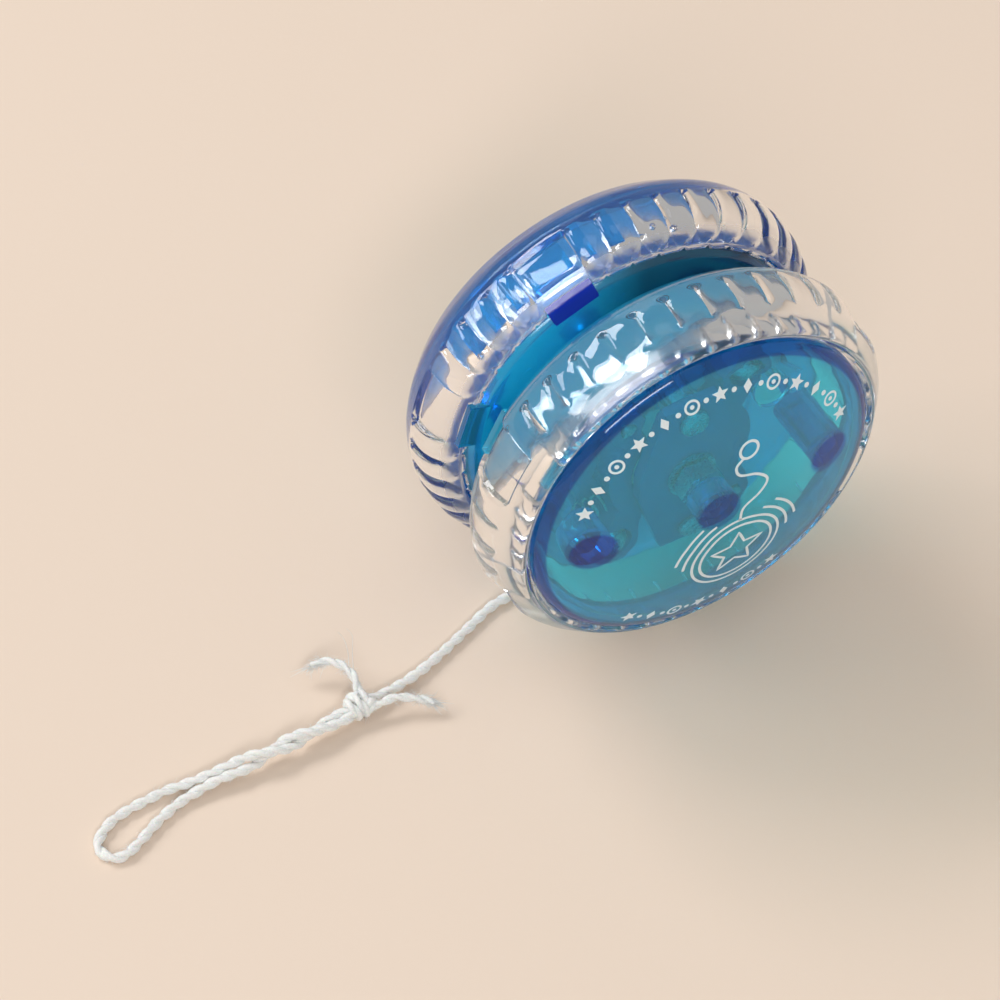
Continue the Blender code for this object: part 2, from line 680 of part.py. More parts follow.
def string_tails():
    routes = [
        [(-0.0430, -0.0046, 0.0024), (-0.0428, -0.0034, 0.0030), (-0.0429, -0.0021, 0.0033),
         (-0.0434, -0.0009, 0.0034), (-0.0442, 0.0003, 0.0033), (-0.0452, 0.0012, 0.0029),
         (-0.0466, 0.0015, 0.0023), (-0.0477, 0.0016, 0.0017)],
        [(-0.0416, -0.0077, 0.0021), (-0.0396, -0.0078, 0.0023), (-0.0381, -0.0085, 0.0022),
         (-0.0365, -0.0095, 0.0020), (-0.0350, -0.0106, 0.0016), (-0.0342, -0.0113, 0.0011)],
    ]
    for index, route in enumerate(routes, start=1):
        name = f"string_tail_{index}"
        tube(name, smooth_route(route, 0.0020), STRING_RADIUS, cotton(name))


# ---------------------------------------------------------------- assembly
spin_axis = bpy.data.objects.new("spin_axis", None)
spin_axis.location = AXLE
parts.objects.link(spin_axis)

clear_rim("clear_rim_near", NEAR)
clear_rim("clear_rim_far", FAR)
hub_near()
hub_far()
cap("cap_near", NEAR)
cap("cap_far", FAR)
axle()
washer("axle_washer_near", BRIDGE_DEPTHS[1] + FIT_GAP, NEAR)
nut("axle_nut_near", BRIDGE_DEPTHS[1] + WASHER_THICKNESS + 2 * FIT_GAP, NEAR)
washer("axle_washer_far", FAR_BOSS_TOP + FIT_GAP, FAR)
nut("axle_nut_far", FAR_BOSS_TOP + WASHER_THICKNESS + 2 * FIT_GAP, FAR)
washer("spindle_washer", -SLEEVE_FAR_END + FIT_GAP, FAR, 0.0004, 0.0032)
spindle(spin_axis)
bridge()
for number in (1, 2):
    bridge_screw(number)
    clutch_arm(number)
    arm_spring(number)
winding()
free_string()
knot()
finger_loop()
string_tails()
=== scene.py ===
"""Looks for the clutch yo-yo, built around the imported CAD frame.

Lengths are in metres and the axle lies along Y at AXLE. Turned pieces are drawn in millimetres
as (radius, depth), where depth is measured outwards from the middle of the string gap. The half
that carries the near cap lies at -Y and the far half at +Y.
"""

import math

import bmesh
import bpy
import numpy as np
from mathutils import Matrix, Vector


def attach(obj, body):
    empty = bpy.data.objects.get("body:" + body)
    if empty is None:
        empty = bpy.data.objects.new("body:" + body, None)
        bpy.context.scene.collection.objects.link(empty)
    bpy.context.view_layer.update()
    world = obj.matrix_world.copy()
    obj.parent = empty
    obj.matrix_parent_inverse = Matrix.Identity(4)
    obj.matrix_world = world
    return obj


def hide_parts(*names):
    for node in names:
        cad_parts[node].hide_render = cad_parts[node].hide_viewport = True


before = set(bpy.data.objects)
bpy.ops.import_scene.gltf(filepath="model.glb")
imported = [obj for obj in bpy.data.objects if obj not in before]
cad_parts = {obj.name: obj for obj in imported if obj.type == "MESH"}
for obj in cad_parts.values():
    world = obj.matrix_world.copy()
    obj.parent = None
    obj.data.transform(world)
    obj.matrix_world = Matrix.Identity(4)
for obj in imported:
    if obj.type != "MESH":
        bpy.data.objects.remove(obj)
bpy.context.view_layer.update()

MM = 0.001
NEAR = -1                      # the sign of y on each half
FAR = 1
TAU = math.tau
AXLE = Vector((0.0, 0.0, 0.028))
BODY = "yoyo_body"             # the moving groups that the pieces ride
STRING = "spindle_and_string"

scene = bpy.context.scene


# ------------------------ camera
def make_camera():
    """The camera that was fitted to the photo: its direction, its place and its lens."""
    azimuth, elevation = math.radians(-28.39), math.radians(50.28)
    place = (-0.17175, -0.28034, 0.40530)
    back = Vector((math.sin(azimuth) * math.cos(elevation),
                   -math.cos(azimuth) * math.cos(elevation), math.sin(elevation)))
    right = Vector((math.cos(azimuth), math.sin(azimuth), 0.0))
    up = back.cross(right)
    data = bpy.data.cameras.new("camera")
    data.sensor_width = 36.0
    data.lens = 144.48
    data.clip_start = 0.01
    data.clip_end = 20.0
    camera = bpy.data.objects.new("camera", data)
    turn = Matrix((right, up, back)).transposed().to_4x4()
    camera.matrix_world = Matrix.Translation(place) @ turn
    scene.collection.objects.link(camera)
    scene.camera = camera


make_camera()


# ------------------------ node helpers
class Nodes:
    """A material's node tree, with short calls to add nodes and link them."""

    def __init__(self, name):
        self.material = bpy.data.materials.new(name)
        self.material.use_nodes = True
        self.tree = self.material.node_tree
        self.tree.nodes.clear()
        self.out = self.add("ShaderNodeOutputMaterial")

    def add(self, kind, inputs=(), **settings):
        """A new node; inputs maps its sockets to values, or to the outputs of other nodes."""
        node = self.tree.nodes.new(kind)
        for key, value in settings.items():
            setattr(node, key, value)
        for socket, value in dict(inputs).items():
            if isinstance(value, bpy.types.NodeSocket):
                self.tree.links.new(value, node.inputs[socket])
            else:
                node.inputs[socket].default_value = value
        return node

    def place(self, scale=(1, 1, 1)):
        """Object coordinates, which every texture here is made from."""
        where = self.add("ShaderNodeTexCoord").outputs["Object"]
        mapping = self.add("ShaderNodeMapping", {"Vector": where, "Scale": scale})
        return mapping.outputs["Vector"]

    def noise(self, scale, detail=3.0, where=None, rough=0.5):
        node = self.add("ShaderNodeTexNoise", {"Vector": where or self.place(), "Scale": scale,
                                               "Detail": detail, "Roughness": rough})
        return node.outputs["Fac"]

    def ramp(self, fac, low, high, to_low=0.0, to_high=1.0):
        node = self.add("ShaderNodeMapRange", {"Value": fac, "From Min": low, "From Max": high,
                                               "To Min": to_low, "To Max": to_high})
        return node.outputs["Result"]

    def math(self, operation, a, b):
        return self.add("ShaderNodeMath", {0: a, 1: b}, operation=operation).outputs[0]

    def vector_math(self, operation, a, b=(0.0, 0.0, 0.0)):
        return self.add("ShaderNodeVectorMath", {0: a, 1: b}, operation=operation)

    def mix(self, fac, a, b):
        """One colour turning into another, where fac goes from 0 to 1."""
        return self.add("ShaderNodeMix", {0: fac, 6: a, 7: b}, data_type="RGBA").outputs[2]

    def bump(self, height, strength, distance):
        node = self.add("ShaderNodeBump", {"Height": height, "Strength": strength,
                                           "Distance": distance})
        return node.outputs["Normal"]

    def principled(self, **values):
        """The output of a principled shader; an underscore stands for a space."""
        inputs = {key.replace("_", " "): value for key, value in values.items()}
        return self.add("ShaderNodeBsdfPrincipled", inputs).outputs[0]

    def finish(self, surface, volume=None):
        self.tree.links.new(surface, self.out.inputs["Surface"])
        if volume:
            self.tree.links.new(volume, self.out.inputs["Volume"])
        return self.material


def distance_from(n, x, z):
    """Distance in metres from a line along Y that passes x across and z up from the axle."""
    where = n.add("ShaderNodeTexCoord").outputs["Object"]
    shift = n.vector_math("SUBTRACT", where, (AXLE.x + x * MM, 0.0, AXLE.z + z * MM))
    flat = n.vector_math("MULTIPLY", shift.outputs[0], (1.0, 0.0, 1.0))
    return n.vector_math("LENGTH", flat.outputs[0]).outputs["Value"]


def see_through(name, tint, shadow, rough, index, absorb=None, density=0.0, zones=(),
                clear=1.0):
    """Moulded transparent plastic: slow flow waves, fine scuffs and a few dust specks.

    Lamplight comes through it in the colour shadow. Each zone (x, z, start, end, colour), in
    millimetres, changes the tint to its colour where the distance from a line beside the
    axle, at x and z, goes from start to end. The zones of the hub webs are painted shade;
    those of the caps give a deeper blue where the plastic is thick.
    """
    n = Nodes(name)
    waves = n.noise(160.0, 2.0)
    fine = n.noise(2600.0, 4.0)
    height = n.math("ADD", waves, n.math("MULTIPLY", fine, 0.02))
    streaks = n.noise(900.0, 6.0, n.place((1.0, 9.0, 2.0)), 0.7)
    speck = n.ramp(n.noise(1500.0, 1.0), 0.80, 0.83)
    colour = n.mix(speck, (*tint, 1.0), (tint[0] * 0.5, tint[1] * 0.5, tint[2] * 0.55, 1.0))
    # some zones paint shade into the tint: the hub webs are darker where they lie in shade
    for x, z, start, end, deep in zones:
        colour = n.mix(n.ramp(distance_from(n, x, z), start * MM, end * MM), colour, (*deep, 1.0))
    glass = n.principled(
        Base_Color=colour, Roughness=n.ramp(streaks, 0.35, 0.75, rough[0], rough[1]),
        Transmission_Weight=clear, IOR=index, Normal=n.bump(height, 0.03, 0.0012))
    lamp = n.add("ShaderNodeBsdfTransparent", {"Color": (*shadow, 1.0)}).outputs[0]
    in_shadow = n.add("ShaderNodeLightPath").outputs["Is Shadow Ray"]
    surface = n.add("ShaderNodeMixShader", {0: in_shadow, 1: glass, 2: lamp}).outputs[0]
    if not absorb:
        return n.finish(surface)
    inside = n.add("ShaderNodeVolumeAbsorption", {"Color": (*absorb, 1.0), "Density": density})
    return n.finish(surface, inside.outputs[0])


BLUE = (0.05, 0.87, 0.98)      # what the coloured plastic absorbs towards
PEG = 16.6                     # how far the pegs and the cap's bosses stand from the axle
# painted shade: zones where the flat webs of the hubs are coloured darker. On the far web this is
# towards the top right of the gap, in the shade of the near half; on the near web, towards its
# lower left
PAINTED_SHADE = {NEAR: [(-8.0, -6.0, 17.0, 8.0, (0.01, 0.20, 0.46))],
       FAR: [(9.0, 21.0, 19.0, 8.0, (0.04, 0.15, 0.22))]}
# where the plastic of a cap is thick, and so a deeper blue: its edge and its three bosses
DEEP = [(0.0, 0.0, 22.15, 22.45, (0.001, 0.18, 0.58)), (PEG, 0.0, 3.1, 2.7, (0.02, 0.28, 0.70)),
        (-PEG, 0.0, 3.3, 2.9, (0.01, 0.16, 0.58)), (0.0, 0.0, 3.2, 2.8, (0.02, 0.30, 0.70))]


def blue_plastic(name, density, tint=(0.985, 0.99, 0.995), rough=(0.02, 0.06), clear=1.0,
                 zones=()):
    """The hubs' and caps' plastic: density is how strongly it is coloured all through."""
    return see_through(name, tint, (0.80, 0.73, 0.67), rough, 1.5, BLUE, density, zones, clear)


def clear_plastic(name, rough=(0.02, 0.05)):
    return see_through(name, (0.985, 0.992, 0.995), (0.88, 0.85, 0.82), rough, 1.52)


def ink(name):
    """White screen print, a little thin in places."""
    n = Nodes(name)
    worn = n.ramp(n.noise(2400.0, 5.0, rough=0.7), 0.55, 0.75)
    tone = n.mix(worn, (0.74, 0.83, 0.87, 1.0), (0.45, 0.66, 0.76, 1.0))
    paint = n.principled(Base_Color=tone, Roughness=n.ramp(n.noise(900.0), 0.3, 0.7, 0.4, 0.6),
                         Normal=n.bump(n.noise(3800.0, 4.0), 0.15, 0.00005))
    return n.finish(paint)


def metal(name, colour, rough):
    """Turned metal with a fine grain."""
    n = Nodes(name)
    grain = n.noise(3000.0, 4.0, n.place((1.0, 6.0, 1.0)))
    tone = n.mix(n.noise(700.0, 3.0), (*colour, 1.0), (*[c * 0.78 for c in colour], 1.0))
    steel = n.principled(Base_Color=tone, Metallic=1.0,
                         Roughness=n.ramp(grain, 0.3, 0.7, rough * 0.7, rough * 1.4),
                         Normal=n.bump(grain, 0.08, 0.0002))
    return n.finish(steel)


def solid_plastic(name, colour):
    """Opaque plastic with a faint cloud in its colour."""
    n = Nodes(name)
    cloud = n.noise(500.0, 3.0)
    tone = n.mix(cloud, (*colour, 1.0), (*[c * 0.72 for c in colour], 1.0))
    body = n.principled(Base_Color=tone, IOR=1.49,
                        Roughness=n.ramp(n.noise(2200.0), 0.3, 0.7, 0.24, 0.39),
                        Normal=n.bump(n.noise(1800.0), 0.05, 0.0003))
    return n.finish(body)


# ------------------------ mesh helpers
def add_object(name, mesh, material, body=None, replaces=()):
    """Links a mesh with its material; a piece of the yo-yo rides a body and hides the CAD parts it
    replaces.
    """
    obj = bpy.data.objects.new(name, mesh)
    scene.collection.objects.link(obj)
    mesh.materials.clear()
    mesh.materials.append(material)
    if body:
        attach(obj, body)
        if replaces:
            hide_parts(*replaces)
    return obj


def grid_mesh(name, points, wrap_rows, wrap_columns):
    """A mesh from an array of points, rows by columns, each direction closed or open."""
    rows, columns = points.shape[:2]
    mesh = bpy.data.meshes.new(name)
    index = np.arange(rows * columns).reshape(rows, columns)
    a = index if wrap_rows else index[:-1]
    b = np.roll(index, -1, axis=0) if wrap_rows else index[1:]
    if not wrap_columns:
        quads = np.stack([a[:, :-1], b[:, :-1], b[:, 1:], a[:, 1:]], axis=-1)
    else:
        quads = np.stack([a, b, np.roll(b, -1, axis=1), np.roll(a, -1, axis=1)], axis=-1)
    mesh.from_pydata(points.reshape(-1, 3).tolist(), [], quads.reshape(-1, 4).tolist())
    return mesh


def tidy_mesh(mesh, weld=2e-6, angle=math.radians(38.0)):
    """Welds doubled points, faces every side outwards and keeps corners past the angle sharp."""
    work = bmesh.new()
    work.from_mesh(mesh)
    bmesh.ops.remove_doubles(work, verts=work.verts, dist=weld)
    bmesh.ops.dissolve_degenerate(work, edges=work.edges, dist=weld / 4)
    bmesh.ops.recalc_face_normals(work, faces=work.faces)
    work.to_mesh(mesh)
    work.free()
    mesh.shade_smooth()
    mesh.set_sharp_from_angle(angle=angle)
    return mesh


def rounded(outline, radius, steps=4):
    """An outline with each corner but its first and last turned into a small arc."""
    points = [Vector(p) for p in outline]
    out = [points[0]]
    for previous, corner, following in zip(points, points[1:], points[2:]):
        before, after = previous - corner, following - corner
        reach = min(radius, before.length * 0.45, after.length * 0.45)
        start, end = corner + before.normalized() * reach, corner + after.normalized() * reach
        for k in range(steps + 1):
            t = k / steps
            out.append((1 - t) ** 2 * start + 2 * t * (1 - t) * corner + t * t * end)
    out.append(points[-1])
    return [(p.x, p.y) for p in out]


def lathe(name, outline, side, segments, centre=(0.0, 0.0), closed=False):
    """A closed outline in millimetres spun about the axle, or about a line beside it."""
    profile = np.array(outline) * MM
    turn = np.linspace(0.0, TAU, segments, endpoint=False)
    radius, depth = profile[:, 0], profile[:, 1]
    x = np.cos(turn)[:, None] * radius + centre[0] * MM + AXLE.x
    z = np.sin(turn)[:, None] * radius + centre[1] * MM + AXLE.z
    y = np.broadcast_to(side * depth, x.shape)
    return tidy_mesh(grid_mesh(name, np.stack([x, y, z], axis=-1), True, closed))


def tool(mesh):
    """A helper object for a boolean; carve() deletes it."""
    obj = bpy.data.objects.new("tool", mesh)
    scene.collection.objects.link(obj)
    return obj


def cylinder(x, z, radius, low, high, side, segments=48):
    """A tool along the axle's direction, from one depth to another, in millimetres."""
    outline = [(0.0, low), (radius, low), (radius, high), (0.0, high)]
    return tool(lathe("tool", outline, side, segments, (x, z)))


def box_tool(size, place, turn):
    """A bevelled box in metres, turned about the axle's direction."""
    mesh = bpy.data.meshes.new("tool")
    work = bmesh.new()
    bmesh.ops.create_cube(work, size=1.0, matrix=Matrix.Diagonal((*size, 1.0)))
    bmesh.ops.bevel(work, geom=work.edges[:], offset=min(size) * 0.08, segments=2,
                    affect="EDGES")
    spin = Matrix.Rotation(turn, 4, "Y")
    bmesh.ops.transform(work, matrix=Matrix.Translation(place) @ spin, verts=work.verts)
    work.to_mesh(mesh)
    work.free()
    return tool(mesh)


def carve(mesh, steps, angle=math.radians(38.0)):
    """The mesh after a list of (operation, tool) booleans."""
    base = tool(mesh)
    for operation, helper in steps:
        change = base.modifiers.new("Boolean", "BOOLEAN")
        change.operation = operation
        change.solver = "EXACT"
        change.object = helper
    bpy.context.view_layer.update()
    graph = bpy.context.evaluated_depsgraph_get()
    result = bpy.data.meshes.new_from_object(base.evaluated_get(graph))
    for helper in [base] + [helper for _, helper in steps]:
        bpy.data.objects.remove(helper, do_unlink=True)
    return tidy_mesh(result, 1e-6, angle)


def ease(value):
    """A smooth step from 0 to 1."""
    value = np.clip(value, 0.0, 1.0)
    return value * value * (3 - 2 * value)


def distances(path):
    """How far along a path each of its points lies."""
    return np.concatenate([[0.0], np.cumsum(np.linalg.norm(np.diff(path, axis=0), axis=1))])


def smooth_curve(points, count):
    """Evenly spaced points on a Catmull-Rom curve."""
    knots = np.array(points, float)
    knots = np.vstack([2 * knots[0] - knots[1], knots, 2 * knots[-1] - knots[-2]])
    t = np.linspace(0.0, 1.0, 40, endpoint=False)[:, None]
    parts = []
    for a, b, c, d in zip(knots, knots[1:], knots[2:], knots[3:]):
        parts.append(0.5 * (2 * b + (c - a) * t + (2 * a - 5 * b + 4 * c - d) * t ** 2
                            + (3 * b - a - 3 * c + d) * t ** 3))
    fine = np.vstack([*parts, knots[-2][None]])
    along = distances(fine)
    at = np.linspace(0.0, along[-1], count)
    return np.stack([np.interp(at, along, fine[:, k]) for k in range(3)], axis=1)


def frames_along(path):
    """A direction and two steady side directions at each point of a path."""
    ahead = np.gradient(path, axis=0)
    ahead /= np.linalg.norm(ahead, axis=1)[:, None]
    first = np.cross(ahead[0], (0.0, 1.0, 0.0))
    if np.linalg.norm(first) < 0.2:
        first = np.cross(ahead[0], (0.0, 0.0, 1.0))
    sides = [first / np.linalg.norm(first)]
    for direction in ahead[1:]:
        side = sides[-1] - direction * np.dot(sides[-1], direction)
        sides.append(side / np.linalg.norm(side))
    one = np.array(sides)
    return ahead, one, np.cross(ahead, one)


def ring_tube(path, radii, sides, wobble=None):
    """Vertices and faces of a tube; radii holds one number for each point of its path.

    A wobble holds one more factor for each side of each ring.
    """
    _, one, two = frames_along(path)
    turn = np.linspace(0.0, TAU, sides, endpoint=False)
    reach = np.broadcast_to(np.asarray(radii, float).reshape(-1, 1), (len(path), sides))
    if wobble is not None:
        reach = reach * wobble
    points = (path[:, None] + one[:, None] * (np.cos(turn)[None, :, None] * reach[..., None])
              + two[:, None] * (np.sin(turn)[None, :, None] * reach[..., None]))
    rows = len(path)
    index = np.arange(rows * sides).reshape(rows, sides)
    a, b = index[:-1], index[1:]
    faces = np.stack([a, np.roll(a, -1, 1), np.roll(b, -1, 1), b], axis=-1).reshape(-1, 4)
    caps = [index[0][::-1].tolist(), index[-1].tolist()]
    return points.reshape(-1, 3), faces.tolist() + caps


def merged(name, pieces):
    """One mesh from several (vertices, faces) pairs."""
    mesh = bpy.data.meshes.new(name)
    vertices, faces, start = [], [], 0
    for points, polygons in pieces:
        vertices.append(np.asarray(points))
        faces += [[i + start for i in polygon] for polygon in polygons]
        start += len(points)
    mesh.from_pydata(np.vstack(vertices).tolist(), [], faces)
    mesh.shade_smooth()
    return mesh


# ------------------------ string
STRING_DIAMETER = 1.15 * MM
PLY_OFFSET = 0.26 * MM         # from the middle of the string to the middle of a ply
PLY_RADIUS = 0.42 * MM
LAY_LENGTH = 4.4 * MM          # one full turn of the two plies
YARNS = 5                      # fine yarns that show as grooves on each ply
YARN_LAY = 3.1 * MM
SWELL_STEP = 1.5 * MM          # how often a ply gets slightly thicker or thinner
HAIR_RADIUS = 0.026 * MM
FLOOR = 0.04 * MM              # nothing of the string goes lower
WOUND = 0.84                   # how thin the string is where it is pulled tight on the sleeve


def cotton(name):
    """Soft white cotton with fine fibres."""
    n = Nodes(name)
    where = n.place()
    fibres = n.noise(5200.0, 5.0, where, 0.65)
    fluff = n.noise(1400.0, 3.0, where)
    light = (0.90, 0.905, 0.885, 1.0)
    shade = (0.74, 0.75, 0.735, 1.0)
    tone = n.mix(n.ramp(fibres, 0.28, 0.62), shade, light)
    height = n.math("ADD", fibres, n.math("MULTIPLY", fluff, 0.5))
    body = n.principled(Base_Color=tone, Roughness=n.ramp(fluff, 0.3, 0.7, 0.78, 0.95),
                        Sheen_Weight=0.6, Sheen_Roughness=0.5, Specular_IOR_Level=0.25,
                        Subsurface_Weight=0.12, Subsurface_Scale=0.0006,
                        Normal=n.bump(height, 0.55, 0.00012))
    return n.finish(body)


def plies(path, phase, thin=1.0, sides=14):
    """The two twisted strands of a string along a path, as (vertices, faces) pairs."""
    _, one, two = frames_along(path)
    along = distances(path)
    scale = np.broadcast_to(thin, len(path))
    # every pair of strands has its own fixed seed
    noise = np.random.default_rng(int(phase * 1000) + len(path))
    around = np.linspace(0.0, TAU, sides, endpoint=False)
    grooves = 0.06 * np.cos(YARNS * around[None, :] + (TAU * YARNS * along / YARN_LAY)[:, None])
    swells = int(along[-1] / SWELL_STEP) + 3
    slow = np.interp(along, SWELL_STEP * np.arange(swells), noise.normal(1.0, 0.05, swells))
    pairs = []
    for ply in (0, 1):
        turn = TAU * along / LAY_LENGTH + phase + math.pi * ply
        offset = one * np.cos(turn)[:, None] + two * np.sin(turn)[:, None]
        middle = path + offset * (PLY_OFFSET * scale)[:, None]
        rough = noise.normal(1.0, 0.04, (len(path), sides)) + grooves
        points, faces = ring_tube(middle, PLY_RADIUS * scale * slow, sides, rough)
        points[:, 2] = np.maximum(points[:, 2], FLOOR)
        pairs.append((points, faces))
    return pairs


def fibre(points, radius):
    """One stray cotton fibre, as a fine three-sided tube that tapers to its tip."""
    path = smooth_curve(points, 9)
    return ring_tube(path, np.linspace(radius, radius * 0.3, len(path)), 3)


def fuzz(path, count, length, seed):
    """Short stray fibres that stand off a string."""
    rng = np.random.default_rng(seed)
    _, one, two = frames_along(path)
    hairs = []
    for _ in range(count):
        i = int(rng.integers(2, len(path) - 2))
        ahead = path[i + 1] - path[i]
        ahead = ahead / np.linalg.norm(ahead)
        turn = rng.uniform(0.0, TAU)
        out = one[i] * math.cos(turn) + two[i] * math.sin(turn)
        reach = length * rng.uniform(0.4, 1.2)
        start = path[i] + out * STRING_DIAMETER * 0.40
        middle = start + out * reach * 0.45 + ahead * reach * rng.uniform(-0.6, 0.6)
        end = middle + out * reach * rng.uniform(0.0, 0.5) + ahead * reach * rng.uniform(-0.6, 0.6)
        for point in (middle, end):
            point[2] = max(point[2], 2 * FLOOR)
        hairs.append(fibre([start, middle, end], HAIR_RADIUS))
    return hairs


# the winding, in millimetres: where its turns lie across the gap, the radius of each layer, and
# the (radius, y) at which the free run leaves it
WINDING_COLUMNS = (-1.15, 0.0, 1.15)
WINDING_RADII = (4.90, 6.05, 7.20, 8.35, 9.50, 10.65)
RUN_START = (12.25, 0.0)
TURN_STEPS = 24

# routes along the string's middle, in metres
FREE_ROUTE = [
    (-0.01225, 0.0000, 0.0270), (-0.01230, 0.0000, 0.0210), (-0.01245, 0.0000, 0.0150),
    (-0.01280, 0.0001, 0.0095), (-0.01360, 0.0002, 0.0051), (-0.01540, 0.0005, 0.0020),
    (-0.01820, 0.0007, 0.0008), (-0.02150, 0.0003, 0.0006), (-0.02600, -0.0015, 0.0006),
    (-0.03050, -0.0033, 0.0006), (-0.03480, -0.0048, 0.0008), (-0.03860, -0.0057, 0.0011),
    (-0.04160, -0.0061, 0.0015), (-0.04390, -0.0063, 0.0017),
]
LOOP_ROUTE = [
    (-0.04450, -0.0065, 0.0015),
    (-0.04600, -0.0064, 0.0016), (-0.04830, -0.0066, 0.0018), (-0.05200, -0.0070, 0.0020),
    (-0.05480, -0.0071, 0.0020), (-0.05800, -0.0072, 0.0019), (-0.06110, -0.0070, 0.0017),
    (-0.06430, -0.0068, 0.0013), (-0.06740, -0.0065, 0.0009), (-0.07040, -0.0061, 0.0007),
    (-0.07340, -0.0062, 0.0006), (-0.07610, -0.0065, 0.0006), (-0.07840, -0.0071, 0.0006),
    (-0.08020, -0.0082, 0.0006), (-0.08130, -0.0095, 0.0006), (-0.08110, -0.0113, 0.0006),
    (-0.07970, -0.0124, 0.0006), (-0.07800, -0.0121, 0.0006), (-0.07590, -0.0111, 0.0006),
    (-0.07380, -0.0100, 0.0006), (-0.07170, -0.0091, 0.0006), (-0.06960, -0.0085, 0.0007),
    (-0.06750, -0.0082, 0.0009),
    (-0.06450, -0.0081, 0.0013), (-0.06110, -0.0084, 0.0017), (-0.05800, -0.0085, 0.0019),
    (-0.05480, -0.0083, 0.0020), (-0.05200, -0.0082, 0.0020), (-0.04840, -0.0078, 0.0018),
    (-0.04610, -0.0075, 0.0016), (-0.04450, -0.0071, 0.0015),
]
TAIL_ROUTES = [
    [(-0.0432, -0.0058, 0.0020), (-0.0430, -0.0046, 0.0024), (-0.0428, -0.0034, 0.0030),
     (-0.0429, -0.0021, 0.0033), (-0.0434, -0.0009, 0.0034), (-0.0442, 0.0003, 0.0033),
     (-0.0452, 0.0012, 0.0029), (-0.0464, 0.0015, 0.0024)],
    [(-0.0428, -0.0072, 0.0019), (-0.0416, -0.0077, 0.0021), (-0.0396, -0.0078, 0.0023),
     (-0.0381, -0.0085, 0.0022), (-0.0365, -0.0095, 0.0020), (-0.0353, -0.0104, 0.0016)],
]


def winding_route():
    """Eighteen turns round the sleeve, layer on layer, ending at the left of the coil."""
    spots = []
    for layer, radius in enumerate(WINDING_RADII):
        columns = WINDING_COLUMNS if layer % 2 == 0 else WINDING_COLUMNS[::-1]
        spots += [(radius, column) for column in columns]
    points = []
    for (radius, column), (next_radius, next_column) in zip(spots, spots[1:] + [RUN_START]):
        for step in range(TURN_STEPS):
            share = step / TURN_STEPS
            # the last third of a turn moves over to the next place
            shift = float(ease((share - 0.67) / 0.33))
            r = (radius + (next_radius - radius) * shift) * MM
            y = (column + (next_column - column) * shift) * MM
            angle = math.pi + TAU * share
            points.append((r * math.cos(angle), y, AXLE.z + r * math.sin(angle)))
    return points


def twisted(path):
    """The loop with its doubled part turned once about itself, between its tip and the knot."""
    tip = int(np.argmin(path[:, 0]))
    middle = np.zeros((len(path), 2))
    for half in (path[:tip][::-1], path[tip:]):
        for k in (0, 1):
            middle[:, k] += 0.5 * np.interp(path[:, 0], half[:, 0], half[:, k + 1])
    turn = TAU * ease((path[:, 0] + 0.0635) / 0.0170)
    offset = path[:, 1:] - middle
    out = path.copy()
    out[:, 1] = middle[:, 0] + offset[:, 0] * np.cos(turn) - offset[:, 1] * np.sin(turn)
    out[:, 2] = middle[:, 1] + offset[:, 0] * np.sin(turn) + offset[:, 1] * np.cos(turn)
    return out


def build_string():
    """The winding with the free run, the knot with its tails, and the finger loop."""
    white = cotton("cotton")
    path = smooth_curve(winding_route() + [(-0.01223, 0.0, 0.0280)] + FREE_ROUTE, 3300)
    # the last points, which can be seen, get finer strands than the turns hidden in the gap
    seen = 560
    coil, run = path[:-seen], smooth_curve(path[-seen - 1:], 1100)
    pieces = plies(coil, 0.4, WOUND, 8)
    loosening = np.linspace(WOUND, 1.0, 260)
    thin = np.concatenate([loosening, np.ones(len(run) - len(loosening))])
    pieces += plies(run, 0.9, thin) + fuzz(run, 900, 0.0008, 3)
    main = add_object("string_main", merged("string_main", pieces), white,
                      STRING, ("string_winding", "string_free"))
    knot = build_knot(white)
    tails = [build_tail(number, route, white)
             for number, route in enumerate(TAIL_ROUTES, start=1)]

    loop_path = twisted(smooth_curve(LOOP_ROUTE, 560))
    pieces = plies(loop_path, 1.1) + fuzz(loop_path, 700, 0.0008, 5)
    loop = add_object("string_loop", merged("string_loop", pieces), white,
                      STRING, ("finger_loop",))


def build_knot(white):
    """An overhand knot: turns of string pulled tight round the standing part."""
    centre = np.array([-0.0439, -0.0063, 0.00165])
    along = np.array([-0.93, -0.12, 0.0])
    along /= np.linalg.norm(along)
    upward = np.array([0.0, 0.0, 1.0])
    across = np.cross(upward, along)
    steps = np.linspace(0.0, 1.0, 120)
    turn = steps * TAU * 2.3 + 0.6
    swell = 0.00112 + 0.00028 * np.sin(steps * math.pi)
    path = (centre + np.outer((steps - 0.5) * 0.0026, along)
            + across * (np.cos(turn) * swell)[:, None]
            + upward * (np.sin(turn) * swell * 0.72)[:, None])
    pieces = plies(path, 0.2, 0.92)
    core = centre + np.outer(np.linspace(-0.0017, 0.0017, 30), along)
    pieces += plies(core, 0.9)
    wrap = np.linspace(0.0, 1.0, 60)
    bend = wrap * TAU * 0.8 + 2.2
    crossing = (centre + np.outer(np.sin(wrap * math.pi * 1.3) * 0.0013 - 0.0006, along)
                + across * (np.cos(bend) * 0.00140)[:, None]
                + upward * (np.sin(bend) * 0.00100 + 0.0002)[:, None])
    pieces += plies(crossing, 2.0, 0.86)
    pieces += fuzz(path, 320, 0.0009, 11)
    return add_object("string_overhand_knot", merged("string_overhand_knot", pieces), white,
                      STRING, ("string_knot",))


